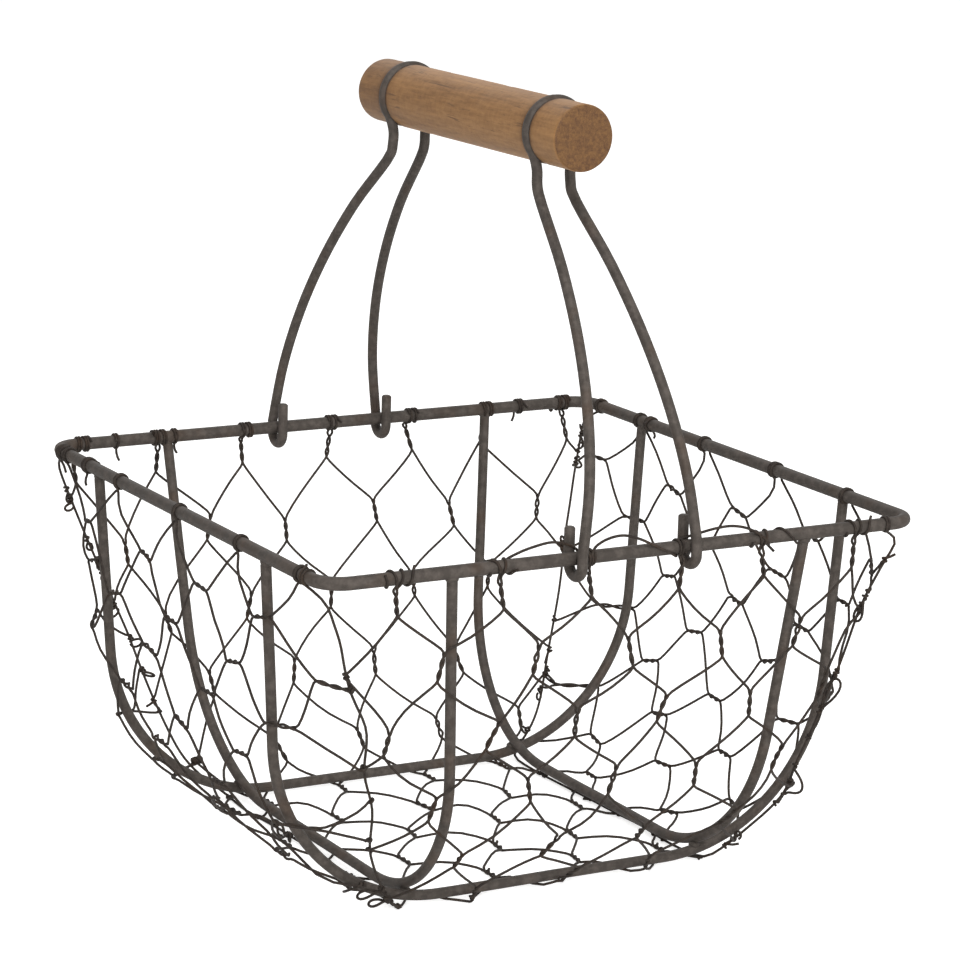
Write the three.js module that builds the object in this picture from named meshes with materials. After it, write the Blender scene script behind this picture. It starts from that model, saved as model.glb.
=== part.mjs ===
// Wire storage basket with a wooden carrying grip, in millimetres, +Z up.
// The origin is on the table under the middle of the basket, and the front rim faces -Y.
import * as THREE from 'three';

// Rim and wire sizes
const RIM_WIDTH = 220;
const RIM_DEPTH = 215;
const RIM_HEIGHT = 125.15;
const RIM_CORNER = 9;
const RIM_WIRE = 4.4;
const RIB_WIRE = 3.6;
const BAIL_WIRE = 3.6;
const NET_WIRE = 0.85;
const GAP = 0.3;

// Shortest length that is still drawn as a wire of its own
const MERGE_LENGTH = 0.05;

// Ribs: the long ones run from left to right, the cross ones from front to back.
// An inset is how far a rib's top or bottom lies inside the rim beside it.
const LONG_RIB_TOP_INSET = 41.5;
const LONG_RIB_BOTTOM_INSET = 43.9;
const LONG_RIB_FILLET = 62.6;
const LONG_RIB_LEAN = THREE.MathUtils.degToRad(3.5);
const CROSS_RIB_TOP_INSET = 44.2;
const CROSS_RIB_BOTTOM_INSET = 53.8;
const CROSS_RIB_FILLET = 58.5;
const CROSS_RIB_LEAN = THREE.MathUtils.degToRad(6.8);

// Wooden grip and the two wire bails that carry it
const GRIP_LENGTH = 137;
const GRIP_DIAMETER = 22;
const GRIP_CHAMFER = 0.8;
const GROOVE_DEPTH = 2.8;
const GRIP_RISE = 127.6;
const LOOP_OFFSET = 50;
const HOOK_HALF_SPACING = 21.3;
const HOOK_TIP_RISE = 9.5;
const HOOK_LIFT = 1.6;
const LOOP_HALF_OPENING = 8;
const NECK_HALF_SPACING = 6.3;
const NECK_DROP = 20;
const NECK_BEND = 1.5;

// Hexagonal netting: a strip runs down the front, under the bottom and up the back
const MESH_PITCH = 33.5;
const TWIST_LENGTH = 9;
const TWIST_STEPS = 3;
const STRIP_ROW_PITCH = 26;
const STRIP_STRETCH = 0.1;
const SIDE_ROW = 23;
const WRAP_TURNS = 3;
const SEAM_PAST_RIB = 2;
const CORNER_JOIN_HEIGHT = 30;
const FIRST_TWIST = 1.2;
const SELVEDGE_INSET = 0.95;

// Loose wire that laces the front of the net to the rim
const LACING_PITCH = 2 * HOOK_HALF_SPACING;
const LACING_ARCH = 2.4;
const LACING_TURNS = 3.5;

// Sizes that follow
const rimR = RIM_WIRE / 2;
const ribR = RIB_WIRE / 2;
const bailR = BAIL_WIRE / 2;
const netR = NET_WIRE / 2;
const twistR = Math.hypot(NET_WIRE, netR);
const longRibZ = NET_WIRE + GAP + ribR;
const longRibTop = RIM_DEPTH / 2 - LONG_RIB_TOP_INSET;
const longRibBottom = RIM_DEPTH / 2 - LONG_RIB_BOTTOM_INSET;
const crossRibTop = RIM_WIDTH / 2 - CROSS_RIB_TOP_INSET;
const crossRibBottom = RIM_WIDTH / 2 - CROSS_RIB_BOTTOM_INSET;
const gripZ = RIM_HEIGHT + GRIP_RISE;
const loopR = GRIP_DIAMETER / 2 - GROOVE_DEPTH + GAP + bailR;
const netOffset = ribR + GAP + twistR;
const flatNetHeight = 3 * NET_WIRE;
const cutInset = NET_WIRE / 2;
const crossingGap = 1.5 * GAP;

// Colours and finishes
const darkWire = (roughness) =>
  new THREE.MeshStandardMaterial({ color: '#5b5450', roughness, metalness: 0.75 });
const turnedWood = () =>
  new THREE.MeshStandardMaterial({ color: '#94703f', roughness: 0.7, metalness: 0 });

const group = new THREE.Group();

function addPiece(name, geometry, material) {
  const mesh = new THREE.Mesh(geometry, material);
  mesh.name = name;
  group.add(mesh);
}

function meshFrom(vertices, triangles) {
  const geometry = new THREE.BufferGeometry();
  const values = vertices.flatMap((v) => v.toArray());
  geometry.setAttribute('position', new THREE.Float32BufferAttribute(values, 3));
  geometry.setIndex(triangles.flat());
  geometry.computeVertexNormals();
  return geometry;
}

// Round wire bent along a list of points, mitred at each of them
function bentWire(points, radius, sides, closed = false) {
  const count = points.length;
  const at = (i) => points[(i + count) % count];
  const tangents = points.map((p, i) => {
    const before = closed || i > 0 ? at(i - 1) : p;
    const after = closed || i < count - 1 ? at(i + 1) : p;
    const incoming = new THREE.Vector3().subVectors(p, before).normalize();
    const outgoing = new THREE.Vector3().subVectors(after, p).normalize();
    return incoming.add(outgoing).normalize();
  });
  let side = new THREE.Vector3(0, 0, 1);
  if (Math.abs(tangents[0].z) > 0.9) side.set(1, 0, 0);
  const vertices = [];
  points.forEach((p, i) => {
    side = side.clone().addScaledVector(tangents[i], -side.dot(tangents[i])).normalize();
    const up = new THREE.Vector3().crossVectors(tangents[i], side);
    const neighbour = closed || i < count - 1 ? at(i + 1) : at(i - 1);
    const run = new THREE.Vector3().subVectors(neighbour, p).normalize();
    const squeeze = Math.max(Math.abs(run.dot(tangents[i])), 0.5);
    const bend = run.clone().addScaledVector(tangents[i], -run.dot(tangents[i]));
    const stretch = bend.length() > 1e-6 ? bend.normalize() : null;
    for (let k = 0; k < sides; k++) {
      const angle = (2 * Math.PI * (k + 0.5)) / sides;
      const ray = side.clone().multiplyScalar(Math.cos(angle)).addScaledVector(up, Math.sin(angle));
      if (stretch) ray.addScaledVector(stretch, ray.dot(stretch) * (1 / squeeze - 1));
      vertices.push(p.clone().addScaledVector(ray, radius));
    }
  });
  const triangles = [];
  const rings = closed ? count : count - 1;
  let shift = 0;
  if (closed) {
    const first = vertices[0].clone().sub(points[0]);
    const lastSide = side.clone().addScaledVector(tangents[0], -side.dot(tangents[0])).normalize();
    const lastUp = new THREE.Vector3().crossVectors(tangents[0], lastSide);
    const angle = Math.atan2(first.dot(lastUp), first.dot(lastSide)) - Math.PI / sides;
    shift = Math.round((angle * sides) / (2 * Math.PI));
  }
  for (let i = 0; i < rings; i++) {
    const wrap = closed && i === count - 1 ? -shift : 0;
    for (let k = 0; k < sides; k++) {
      const a = i * sides + k;
      const b = i * sides + ((k + 1) % sides);
      const next = ((i + 1) % count) * sides;
      const c = next + ((k + 1 + wrap + 2 * sides) % sides);
      const d = next + ((k + wrap + 2 * sides) % sides);
      triangles.push([a, b, c], [a, c, d]);
    }
  }
  if (!closed) {
    const last = (count - 1) * sides;
    for (let k = 1; k < sides - 1; k++) {
      triangles.push([0, k + 1, k], [last, last + k, last + k + 1]);
    }
  }
  return meshFrom(vertices, triangles);
}

// Points on an arc in the plane of two unit directions
function arcPoints(centre, radius, u, v, from, to, steps) {
  const points = [];
  for (let i = 0; i <= steps; i++) {
    const angle = from + ((to - from) * i) / steps;
    const aside = v.clone().multiplyScalar(radius * Math.sin(angle));
    points.push(centre.clone().addScaledVector(u, radius * Math.cos(angle)).add(aside));
  }
  return points;
}

const X = new THREE.Vector3(1, 0, 0);
const Y = new THREE.Vector3(0, 1, 0);
const Z = new THREE.Vector3(0, 0, 1);

// Rim: one wire butt-joined into a rounded rectangle
function rimPoints() {
  const points = [];
  const corners = [
    [1, 1, 0],
    [-1, 1, 1],
    [-1, -1, 2],
    [1, -1, 3],
  ];
  for (const [sx, sy, quarter] of corners) {
    const centre = new THREE.Vector3(
      sx * (RIM_WIDTH / 2 - RIM_CORNER),
      sy * (RIM_DEPTH / 2 - RIM_CORNER),
      RIM_HEIGHT,
    );
    const from = (quarter * Math.PI) / 2;
    points.push(...arcPoints(centre, RIM_CORNER, X, Y, from, from + Math.PI / 2, 6));
  }
  return points;
}

addPiece('rim', bentWire(rimPoints(), rimR, 12, true), darkWire(0.6));

// One half of a rib's outline: a leaning wall, a fillet and half of the flat bottom
function ribOutline(half, lean, fillet, bottom) {
  const wall = (RIM_HEIGHT - bottom - fillet * (1 - Math.sin(lean))) / Math.cos(lean);
  const centre = half - wall * Math.sin(lean) - fillet * Math.cos(lean);
  return { half, lean, fillet, bottom, centre, endAngle: Math.PI / 2 - lean };
}

// Distance from the middle to the rib, or to a line set outwards from it, at a height
function outlineReach(outline, height, outwards = 0) {
  const { half, lean, fillet, bottom, centre } = outline;
  const centreHeight = bottom + fillet;
  const radius = fillet + outwards;
  const wallFoot = centreHeight - radius * Math.sin(lean);
  if (height >= wallFoot) {
    return half + outwards / Math.cos(lean) - (RIM_HEIGHT - height) * Math.tan(lean);
  }
  const drop = Math.min(centreHeight - height, radius);
  return centre + Math.sqrt(radius * radius - drop * drop);
}

const longOutline = ribOutline(RIM_WIDTH / 2, LONG_RIB_LEAN, LONG_RIB_FILLET, longRibZ);

// Climb and slope of a rib at a distance from the middle
function ribClimb({ fillet, centre }, reach) {
  const angle = Math.asin(Math.max(reach - centre, 0) / fillet);
  return { rise: fillet * (1 - Math.cos(angle)), slope: Math.tan(angle) };
}

// The cross ribs lie on the long ones, so their bottom follows from where they cross
function crossingBottom() {
  const trial = ribOutline(RIM_DEPTH / 2, CROSS_RIB_LEAN, CROSS_RIB_FILLET, longRibZ);
  const under = ribClimb(longOutline, crossRibBottom);
  const over = ribClimb(trial, longRibBottom);
  const between = (RIB_WIRE + crossingGap) * Math.hypot(1, under.slope, over.slope);
  return longRibZ + under.rise + between - over.rise;
}

const crossOutline = ribOutline(RIM_DEPTH / 2, CROSS_RIB_LEAN, CROSS_RIB_FILLET, crossingBottom());

// Distance of each pair of ribs from the middle at a height
const longRibSpread = (z) =>
  THREE.MathUtils.mapLinear(z, longRibZ, RIM_HEIGHT, longRibBottom, longRibTop);
const crossRibSpread = (z) =>
  THREE.MathUtils.mapLinear(z, longRibZ, RIM_HEIGHT, crossRibBottom, crossRibTop);

// Rib from one side of the rim to the other, as (reach, height) pairs
function ribPath(outline) {
  const { fillet, bottom, centre, endAngle } = outline;
  const top = RIM_HEIGHT - rimR - GAP;
  const path = [[outlineReach(outline, top), top]];
  const steps = 8;
  for (let i = steps; i >= 0; i--) {
    const angle = (endAngle * i) / steps;
    path.push([centre + fillet * Math.sin(angle), bottom + fillet * (1 - Math.cos(angle))]);
  }
  return [...path, ...path.slice().reverse().map(([reach, z]) => [-reach, z])];
}

for (const [name, side] of [['rib_long_back', 1], ['rib_long_front', -1]]) {
  const points = ribPath(longOutline).map(([x, z]) => new THREE.Vector3(x, side * longRibSpread(z), z));
  addPiece(name, bentWire(points, ribR, 8), darkWire(0.6));
}
for (const [name, side] of [['rib_cross_left', -1], ['rib_cross_right', 1]]) {
  const points = ribPath(crossOutline).map(([y, z]) => new THREE.Vector3(side * crossRibSpread(z), y, z));
  addPiece(name, bentWire(points, ribR, 8), darkWire(0.6));
}

// Wooden grip: a dowel with eased ends and a turned groove for each wire loop
function gripGeometry() {
  const radius = GRIP_DIAMETER / 2;
  const half = GRIP_LENGTH / 2;
  const steps = 4;
  const groove = (bailR + GAP) / Math.cos(Math.PI / steps / 2);
  const grooveProfile = (y) => {
    const points = [[radius, y - groove]];
    for (let i = 0; i <= steps; i++) {
      const angle = (Math.PI * i) / steps;
      points.push([loopR - groove * Math.sin(angle), y - groove * Math.cos(angle)]);
    }
    return [...points, [radius, y + groove]];
  };
  const profile = [
    [0, -half],
    [radius - GRIP_CHAMFER, -half],
    [radius, -half + GRIP_CHAMFER],
    ...grooveProfile(-LOOP_OFFSET),
    ...grooveProfile(LOOP_OFFSET),
    [radius, half - GRIP_CHAMFER],
    [radius - GRIP_CHAMFER, half],
    [0, half],
  ].map(([r, y]) => new THREE.Vector2(r, y));
  const geometry = new THREE.LatheGeometry(profile, 36);
  geometry.translate(0, 0, gripZ);
  return geometry;
}

addPiece('grip', gripGeometry(), turnedWood());

// Bail: hook round the rim, leg up to the neck, loop over the grip, and the same down again
function bailPoints(facing) {
  const hookR = rimR + GAP + bailR;
  const rimOut = RIM_DEPTH / 2;
  const hookX = HOOK_HALF_SPACING;
  const place = (x, out, z) => new THREE.Vector3(x, facing * out, z);
  const hookCentre = place(hookX, rimOut, RIM_HEIGHT - HOOK_LIFT);
  const outwards = new THREE.Vector3(0, facing, 0);
  const hook = [place(hookX, rimOut - hookR, RIM_HEIGHT + HOOK_TIP_RISE)];
  hook.push(...arcPoints(hookCentre, hookR, outwards, Z, -Math.PI, 0, 8));

  const legRise = GRIP_RISE - NECK_DROP - bailR;
  const legRun = rimOut + hookR - LOOP_OFFSET - NECK_BEND;
  const narrowing = HOOK_HALF_SPACING - NECK_HALF_SPACING;
  const leg = [];
  const legSteps = 5;
  for (let i = 0; i <= legSteps; i++) {
    const t = i / legSteps;
    const out = rimOut + hookR - legRun * t ** 2;
    leg.push(place(hookX - narrowing * t, out, RIM_HEIGHT + bailR + legRise * t));
  }
  const neck = [
    place(NECK_HALF_SPACING, LOOP_OFFSET + NECK_BEND / 4, gripZ - NECK_DROP + 2 * NECK_BEND),
    place(NECK_HALF_SPACING, LOOP_OFFSET, gripZ - loopR - bailR),
  ];
  const loopCentre = place(0, LOOP_OFFSET, gripZ);
  const start = Math.asin(LOOP_HALF_OPENING / loopR) - Math.PI / 2;
  const loop = arcPoints(loopCentre, loopR, X, Z, start, Math.PI / 2, 5);

  const spine = new THREE.CatmullRomCurve3([...leg, ...neck, ...loop], false, 'centripetal');
  const bend = spine.getPoints(2 * (leg.length + neck.length + loop.length - 1));
  const half = [...hook, ...bend];
  const mirrored = half.slice(0, -1).reverse().map((p) => new THREE.Vector3(-p.x, p.y, p.z));
  return [...half, ...mirrored];
}

addPiece('bail_back', bentWire(bailPoints(1), bailR, 8), darkWire(0.55));
addPiece('bail_front', bentWire(bailPoints(-1), bailR, 8), darkWire(0.55));

// Netting

// Height at which the net leaves the table and climbs: just beyond the outer ribs
const netZ = netR;
const seamY = longRibBottom + SEAM_PAST_RIB;
const seamX = crossRibBottom + SEAM_PAST_RIB;
const netTop = RIM_HEIGHT - rimR - GAP - netR;

// Wall outline of the net from its bottom seam up to the rim, as (reach, height) points
function wallOutline(outline, seam) {
  const radius = outline.fillet + netOffset;
  const centreHeight = outline.bottom + outline.fillet;
  const dx = seam - outline.centre;
  const dz = centreHeight - netZ;
  const reachToSeam = Math.hypot(dx, dz);
  const tangentAngle = Math.atan2(dx, dz) + (reachToSeam > radius ? Math.acos(radius / reachToSeam) : 0);
  const points = [[seam, netZ]];
  const steps = 14;
  for (let i = 0; i <= steps; i++) {
    const angle = THREE.MathUtils.lerp(tangentAngle, outline.endAngle, i / steps);
    points.push([outline.centre + radius * Math.sin(angle), centreHeight - radius * Math.cos(angle)]);
  }
  points.push([outlineReach(outline, netTop, netOffset), netTop]);
  const lengths = [0];
  for (let i = 1; i < points.length; i++) {
    const step = Math.hypot(points[i][0] - points[i - 1][0], points[i][1] - points[i - 1][1]);
    lengths.push(lengths[i - 1] + step);
  }
  return { points, lengths, total: lengths[lengths.length - 1] };
}

// Point of a wall outline by its distance down from the rim
function outlineAt(wall, down) {
  const along = THREE.MathUtils.clamp(wall.total - down, 0, wall.total);
  let i = 1;
  while (i < wall.points.length - 1 && wall.lengths[i] < along) i++;
  const t = (along - wall.lengths[i - 1]) / (wall.lengths[i] - wall.lengths[i - 1]);
  return [0, 1].map((k) => THREE.MathUtils.lerp(wall.points[i - 1][k], wall.points[i][k], t));
}

// Reach of a wall outline at a height
function wallReach(wall, height) {
  const z = THREE.MathUtils.clamp(height, netZ, netTop);
  let i = 1;
  while (i < wall.points.length - 1 && wall.points[i][1] < z) i++;
  const [a, b] = [wall.points[i - 1], wall.points[i]];
  return THREE.MathUtils.lerp(a[0], b[0], (z - a[1]) / (b[1] - a[1]));
}

const sideWall = wallOutline(longOutline, seamX);
const endWall = wallOutline(crossOutline, seamY);
const pastRib = netOffset / 2;
const crossEdge = (z) => crossRibSpread(z) + pastRib;
const longEdge = (z) => longRibSpread(z) + pastRib;

// The corner of the net: halfway between the ribs low down, then straight up to the rim's corner
function cornerAt(z) {
  const between = (height) => [
    (crossEdge(height) + wallReach(sideWall, height)) / 2,
    (longEdge(height) + wallReach(endWall, height)) / 2,
  ];
  if (z <= CORNER_JOIN_HEIGHT) return between(z);
  const inset = RIM_CORNER * (1 - Math.SQRT1_2) - netOffset * Math.SQRT1_2;
  const top = [RIM_WIDTH / 2 - inset, RIM_DEPTH / 2 - inset];
  const from = between(CORNER_JOIN_HEIGHT);
  const t = (z - CORNER_JOIN_HEIGHT) / (netTop - CORNER_JOIN_HEIGHT);
  return [0, 1].map((k) => THREE.MathUtils.lerp(from[k], top[k], t));
}

// Places a point of an end panel: x across it, down along it from the rim
function onEndWall(facing, x, down) {
  const [reach, z] = outlineAt(endWall, down);
  const edge = crossEdge(z);
  const [cornerX, cornerY] = cornerAt(z);
  const past = THREE.MathUtils.clamp((Math.abs(x) - edge) / (cornerX - edge), 0, 2);
  return new THREE.Vector3(x, facing * THREE.MathUtils.lerp(reach, cornerY, past), z);
}

// Places a point of a side panel: y across it, down along it from the rim
function onSideWall(facing, y, down) {
  const [reach, z] = outlineAt(sideWall, down);
  const edge = longEdge(z);
  const [cornerX, cornerY] = cornerAt(z);
  const past = THREE.MathUtils.clamp((Math.abs(y) - edge) / (cornerY - edge), 0, 2);
  return new THREE.Vector3(facing * THREE.MathUtils.lerp(reach, cornerX, past), y, z);
}

// A panel of net: how its flat (across, down) coordinates bend into shape, and where it ends
class NetPanel {
  constructor({ place, inside, creases = [], outward }) {
    this.place = place;
    this.inside = inside;
    this.creases = creases;
    this.outward = outward;
    this.nodes = [];
    this.links = [];
    this.found = new Map();
  }

  normalAt(u, v) {
    const h = 0.2;
    const du = this.place(u + h, v).sub(this.place(u - h, v));
    const dv = this.place(u, v + h).sub(this.place(u, v - h));
    const normal = du.cross(dv).normalize();
    return normal.dot(this.outward) < 0 ? normal.negate() : normal;
  }

  node(u, v) {
    const key = `${u.toFixed(3)},${v.toFixed(3)}`;
    if (!this.found.has(key)) {
      this.found.set(key, this.nodes.length);
      this.nodes.push({ at: this.place(u, v), normal: this.normalAt(u, v), ends: [] });
    }
    return this.found.get(key);
  }

  rawNode(at, normal, section = null) {
    this.nodes.push({ at, normal, section, ends: [] });
    return this.nodes.length - 1;
  }

  link(a, b, width = NET_WIRE, turn = 'none') {
    if (a === b) return;
    const index = this.links.length;
    this.links.push({ a, b, width, turn });
    this.nodes[a].ends.push(index);
    this.nodes[b].ends.push(index);
  }

  // Where a straight run in the flat net crosses from one side of a test to the other
  crossing(p, q, test) {
    let [low, high] = [0, 1];
    const side = test(...p) > 0;
    for (let i = 0; i < 30; i++) {
      const mid = (low + high) / 2;
      const m = [0, 1].map((k) => THREE.MathUtils.lerp(p[k], q[k], mid));
      if (test(...m) > 0 === side) low = mid;
      else high = mid;
    }
    return [0, 1].map((k) => THREE.MathUtils.lerp(p[k], q[k], low));
  }

  // Lays one strand on the panel, bent where the panel bends
  strand(p, q, width = NET_WIRE, depth = 0) {
    for (const crease of this.creases) {
      const [atP, atQ] = [crease(...p), crease(...q)];
      if (atP * atQ < 0 && Math.min(Math.abs(atP), Math.abs(atQ)) > MERGE_LENGTH) {
        const m = this.crossing(p, q, crease);
        this.strand(p, m, width, depth);
        this.strand(m, q, width, depth);
        return;
      }
    }
    const middle = [0, 1].map((k) => (p[k] + q[k]) / 2);
    const chord = this.place(...p).add(this.place(...q)).multiplyScalar(0.5);
    if (depth < 2 && chord.distanceTo(this.place(...middle)) > GAP) {
      this.strand(p, middle, width, depth + 1);
      this.strand(middle, q, width, depth + 1);
      return;
    }
    this.link(this.node(...p), this.node(...q), width);
  }

  // Lays a strand as far as the panel's edge, and says where it was cut
  clippedStrand(p, q, width = NET_WIRE) {
    const [inP, inQ] = [this.inside(...p) > 0, this.inside(...q) > 0];
    if (!inP && !inQ) return null;
    if (inP && inQ) {
      this.strand(p, q, width);
      return null;
    }
    const cut = this.crossing(p, q, this.inside);
    if (inP) this.strand(p, cut, width);
    else this.strand(cut, q, width);
    return cut;
  }

  // Two wires turned round each other: a flat bar that makes half a turn
  twist(p, q, flat) {
    const [a, b] = [this.node(...p), this.node(...q)];
    if (flat) {
      this.link(a, b, 2 * NET_WIRE);
      return;
    }
    let previous = a;
    for (let i = 1; i < TWIST_STEPS; i++) {
      const t = i / TWIST_STEPS;
      const [u, v] = [0, 1].map((k) => THREE.MathUtils.lerp(p[k], q[k], t));
      const section = { width: 2 * NET_WIRE, thickness: NET_WIRE, roll: t * Math.PI };
      const next = this.rawNode(this.place(u, v), this.normalAt(u, v), section);
      this.link(previous, next, 2 * NET_WIRE, 'step');
      previous = next;
    }
    this.link(previous, b, 2 * NET_WIRE, 'last');
  }

  // Strand ends wound round the rim, drawn as one band as wide as its turns
  wrap(node, centre, along) {
    const start = this.nodes[node].at.clone().sub(centre);
    const outside = new THREE.Vector3().crossVectors(along, Z);
    if (outside.dot(start) < 0) outside.negate();
    const steps = 5;
    const from = -0.2 * Math.PI;
    const to = 1.25 * Math.PI;
    const radius = (rimR + GAP + netR) / Math.cos((to - from) / steps / 2);
    const band = WRAP_TURNS * NET_WIRE;
    let previous = node;
    for (let i = 0; i <= steps; i++) {
      const angle = from + ((to - from) * i) / steps;
      const ray = outside.clone().multiplyScalar(Math.cos(angle)).addScaledVector(Z, Math.sin(angle));
      const next = this.rawNode(centre.clone().addScaledVector(ray, radius), ray);
      this.link(previous, next, i === 0 ? NET_WIRE : band);
      previous = next;
    }
  }

  geometry() {
    return wireNetGeometry(this.nodes, this.links);
  }
}

// Turns a graph of wires into one closed body with a polygon hub wherever wires meet
function wireNetGeometry(nodes, links) {
  const vertices = [];
  const triangles = [];
  const rings = new Map();
  const addVertex = (v) => vertices.push(v) - 1;
  nodes.forEach((node, index) => {
    const { at, normal, ends, section } = node;
    const reference = Math.abs(normal.z) < 0.9 ? Z : X;
    const t1 = new THREE.Vector3().crossVectors(reference, normal).normalize();
    const t2 = new THREE.Vector3().crossVectors(normal, t1);
    const arms = ends.map((link) => {
      const other = links[link].a === index ? links[link].b : links[link].a;
      const run = nodes[other].at.clone().sub(at);
      const flat = new THREE.Vector2(run.dot(t1), run.dot(t2)).normalize();
      return { link, flat, angle: Math.atan2(flat.y, flat.x), half: links[link].width / 2 };
    });
    arms.sort((p, q) => p.angle - q.angle);
    if (section) {
      const [back, ahead] = arms;
      const forward2 = ahead.flat.clone().sub(back.flat).normalize();
      const forward = t1.clone().multiplyScalar(forward2.x).addScaledVector(t2, forward2.y);
      const left = new THREE.Vector3().crossVectors(normal, forward);
      const toward = ends[0] === back.link;
      const roll = toward ? section.roll : -section.roll;
      const across = left.clone().multiplyScalar(Math.cos(roll)).addScaledVector(normal, Math.sin(roll));
      const up = left.clone().multiplyScalar(-Math.sin(roll)).addScaledVector(normal, Math.cos(roll));
      const corner = (w, t) => {
        const aside = across.clone().multiplyScalar((w * section.width) / 2);
        return addVertex(at.clone().add(aside).addScaledVector(up, (t * section.thickness) / 2));
      };
      const [lt, lb, rt, rb] = [corner(1, 1), corner(1, -1), corner(-1, 1), corner(-1, -1)];
      rings.set(`${index}:${ahead.link}`, [lt, lb, rt, rb]);
      rings.set(`${index}:${back.link}`, [rt, rb, lt, lb]);
      return;
    }
    const square = new THREE.Vector2(-arms[0].flat.y, arms[0].flat.x).multiplyScalar(arms[0].half);
    const corners = arms.length === 1
      ? [square, square.clone().negate()]
      : arms.map((arm, i) => {
        const next = arms[(i + 1) % arms.length];
        const sine = arm.flat.cross(next.flat);
        if (Math.abs(sine) < 0.2) {
          const run = arm.flat.clone().sub(next.flat).normalize();
          return new THREE.Vector2(-run.y, run.x).multiplyScalar((arm.half + next.half) / 2);
        }
        const ahead = next.flat.clone().multiplyScalar(arm.half / sine);
        return ahead.addScaledVector(arm.flat, next.half / sine);
      });
    const placed = corners.map(({ x, y }) => {
      const middle = at.clone().addScaledVector(t1, x).addScaledVector(t2, y);
      return [1, -1].map((s) => addVertex(middle.clone().addScaledVector(normal, s * netR)));
    });
    arms.forEach((arm, i) => {
      const left = placed[i];
      const right = placed[(i + placed.length - 1) % placed.length];
      rings.set(`${index}:${arm.link}`, [left[0], left[1], right[0], right[1]]);
    });
    if (arms.length === 1) {
      const [left, right] = placed;
      triangles.push([left[0], left[1], right[1]], [left[0], right[1], right[0]]);
    }
    for (let i = 1; i < placed.length - 1; i++) {
      triangles.push([placed[0][0], placed[i][0], placed[i + 1][0]]);
      triangles.push([placed[0][1], placed[i + 1][1], placed[i][1]]);
    }
  });
  links.forEach(({ a, b, turn }, link) => {
    const [alt, alb, art, arb] = rings.get(`${a}:${link}`);
    const far = rings.get(`${b}:${link}`);
    const [brt, brb, blt, blb] = turn === 'last' ? far.slice().reverse() : far;
    const quads = [
      [alt, art, brt, blt],
      [art, arb, brb, brt],
      [arb, alb, blb, brb],
      [alb, alt, blt, blb],
    ];
    for (const [p, q, r, s] of quads) {
      if (turn !== 'none') triangles.push([q, r, s], [q, s, p]);
      else triangles.push([p, q, r], [p, r, s]);
    }
  });
  return meshFrom(vertices, triangles);
}

const stripLength = 2 * (endWall.total + seamY);
const halfTwist = TWIST_LENGTH / 2;
const stripColumns = Math.ceil(RIM_WIDTH / MESH_PITCH / 2) + 1;

// Rows of twists along the strip, of an odd number of spaces: a little further apart towards the back
function stripRows() {
  const first = FIRST_TWIST + halfTwist;
  const span = stripLength - 2 * first;
  const spaces = 2 * Math.round((span / STRIP_ROW_PITCH - 1) / 2) + 1;
  const share = (i) => (i / spaces) * (1 + (STRIP_STRETCH * (i - spaces)) / spaces);
  return Array.from({ length: spaces + 1 }, (_, i) => first + span * share(i));
}

// Every wire of the strip in flat (across, along) coordinates
function stripWires() {
  const rows = stripRows();
  const twists = [];
  const strands = [];
  rows.forEach((along, i) => {
    const shift = i % 2 === 0 ? 0.5 : 0;
    for (let j = -stripColumns; j <= stripColumns; j++) {
      const x = (j + shift) * MESH_PITCH;
      twists.push([[x, along - halfTwist], [x, along + halfTwist]]);
      if (i === rows.length - 1) continue;
      for (const side of [-0.5, 0.5]) {
        strands.push([[x, along + halfTwist], [x + side * MESH_PITCH, rows[i + 1] - halfTwist]]);
      }
    }
  });
  return { twists, strands };
}

// Joins the cut strand ends along one edge of a panel with its selvedge wire
function addSelvedge(panel, points) {
  const apart = (p, q) => Math.hypot(p[0] - q[0], p[1] - q[1]) > MERGE_LENGTH;
  const kept = points.filter((p, i) => i === 0 || apart(p, points[i - 1]));
  for (let i = 1; i < kept.length; i++) panel.strand(kept[i - 1], kept[i]);
}

const { twists: stripTwists, strands: stripStrands } = stripWires();

// Lays the part of the strip that belongs to one panel
function layStrip(panel, toPanel, flatBelow) {
  const cuts = [];
  for (const [p, q] of stripStrands) cuts.push(panel.clippedStrand(toPanel(p), toPanel(q)));
  for (const [p, q] of stripTwists) {
    const [a, b] = [toPanel(p), toPanel(q)];
    if (panel.inside(...a) > 0 && panel.inside(...b) > 0) {
      panel.twist(a, b, Math.min(panel.place(...a).z, panel.place(...b).z) < flatBelow);
    } else {
      cuts.push(panel.clippedStrand(a, b, 2 * NET_WIRE));
    }
  }
  return cuts.filter((cut) => cut !== null);
}

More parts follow.
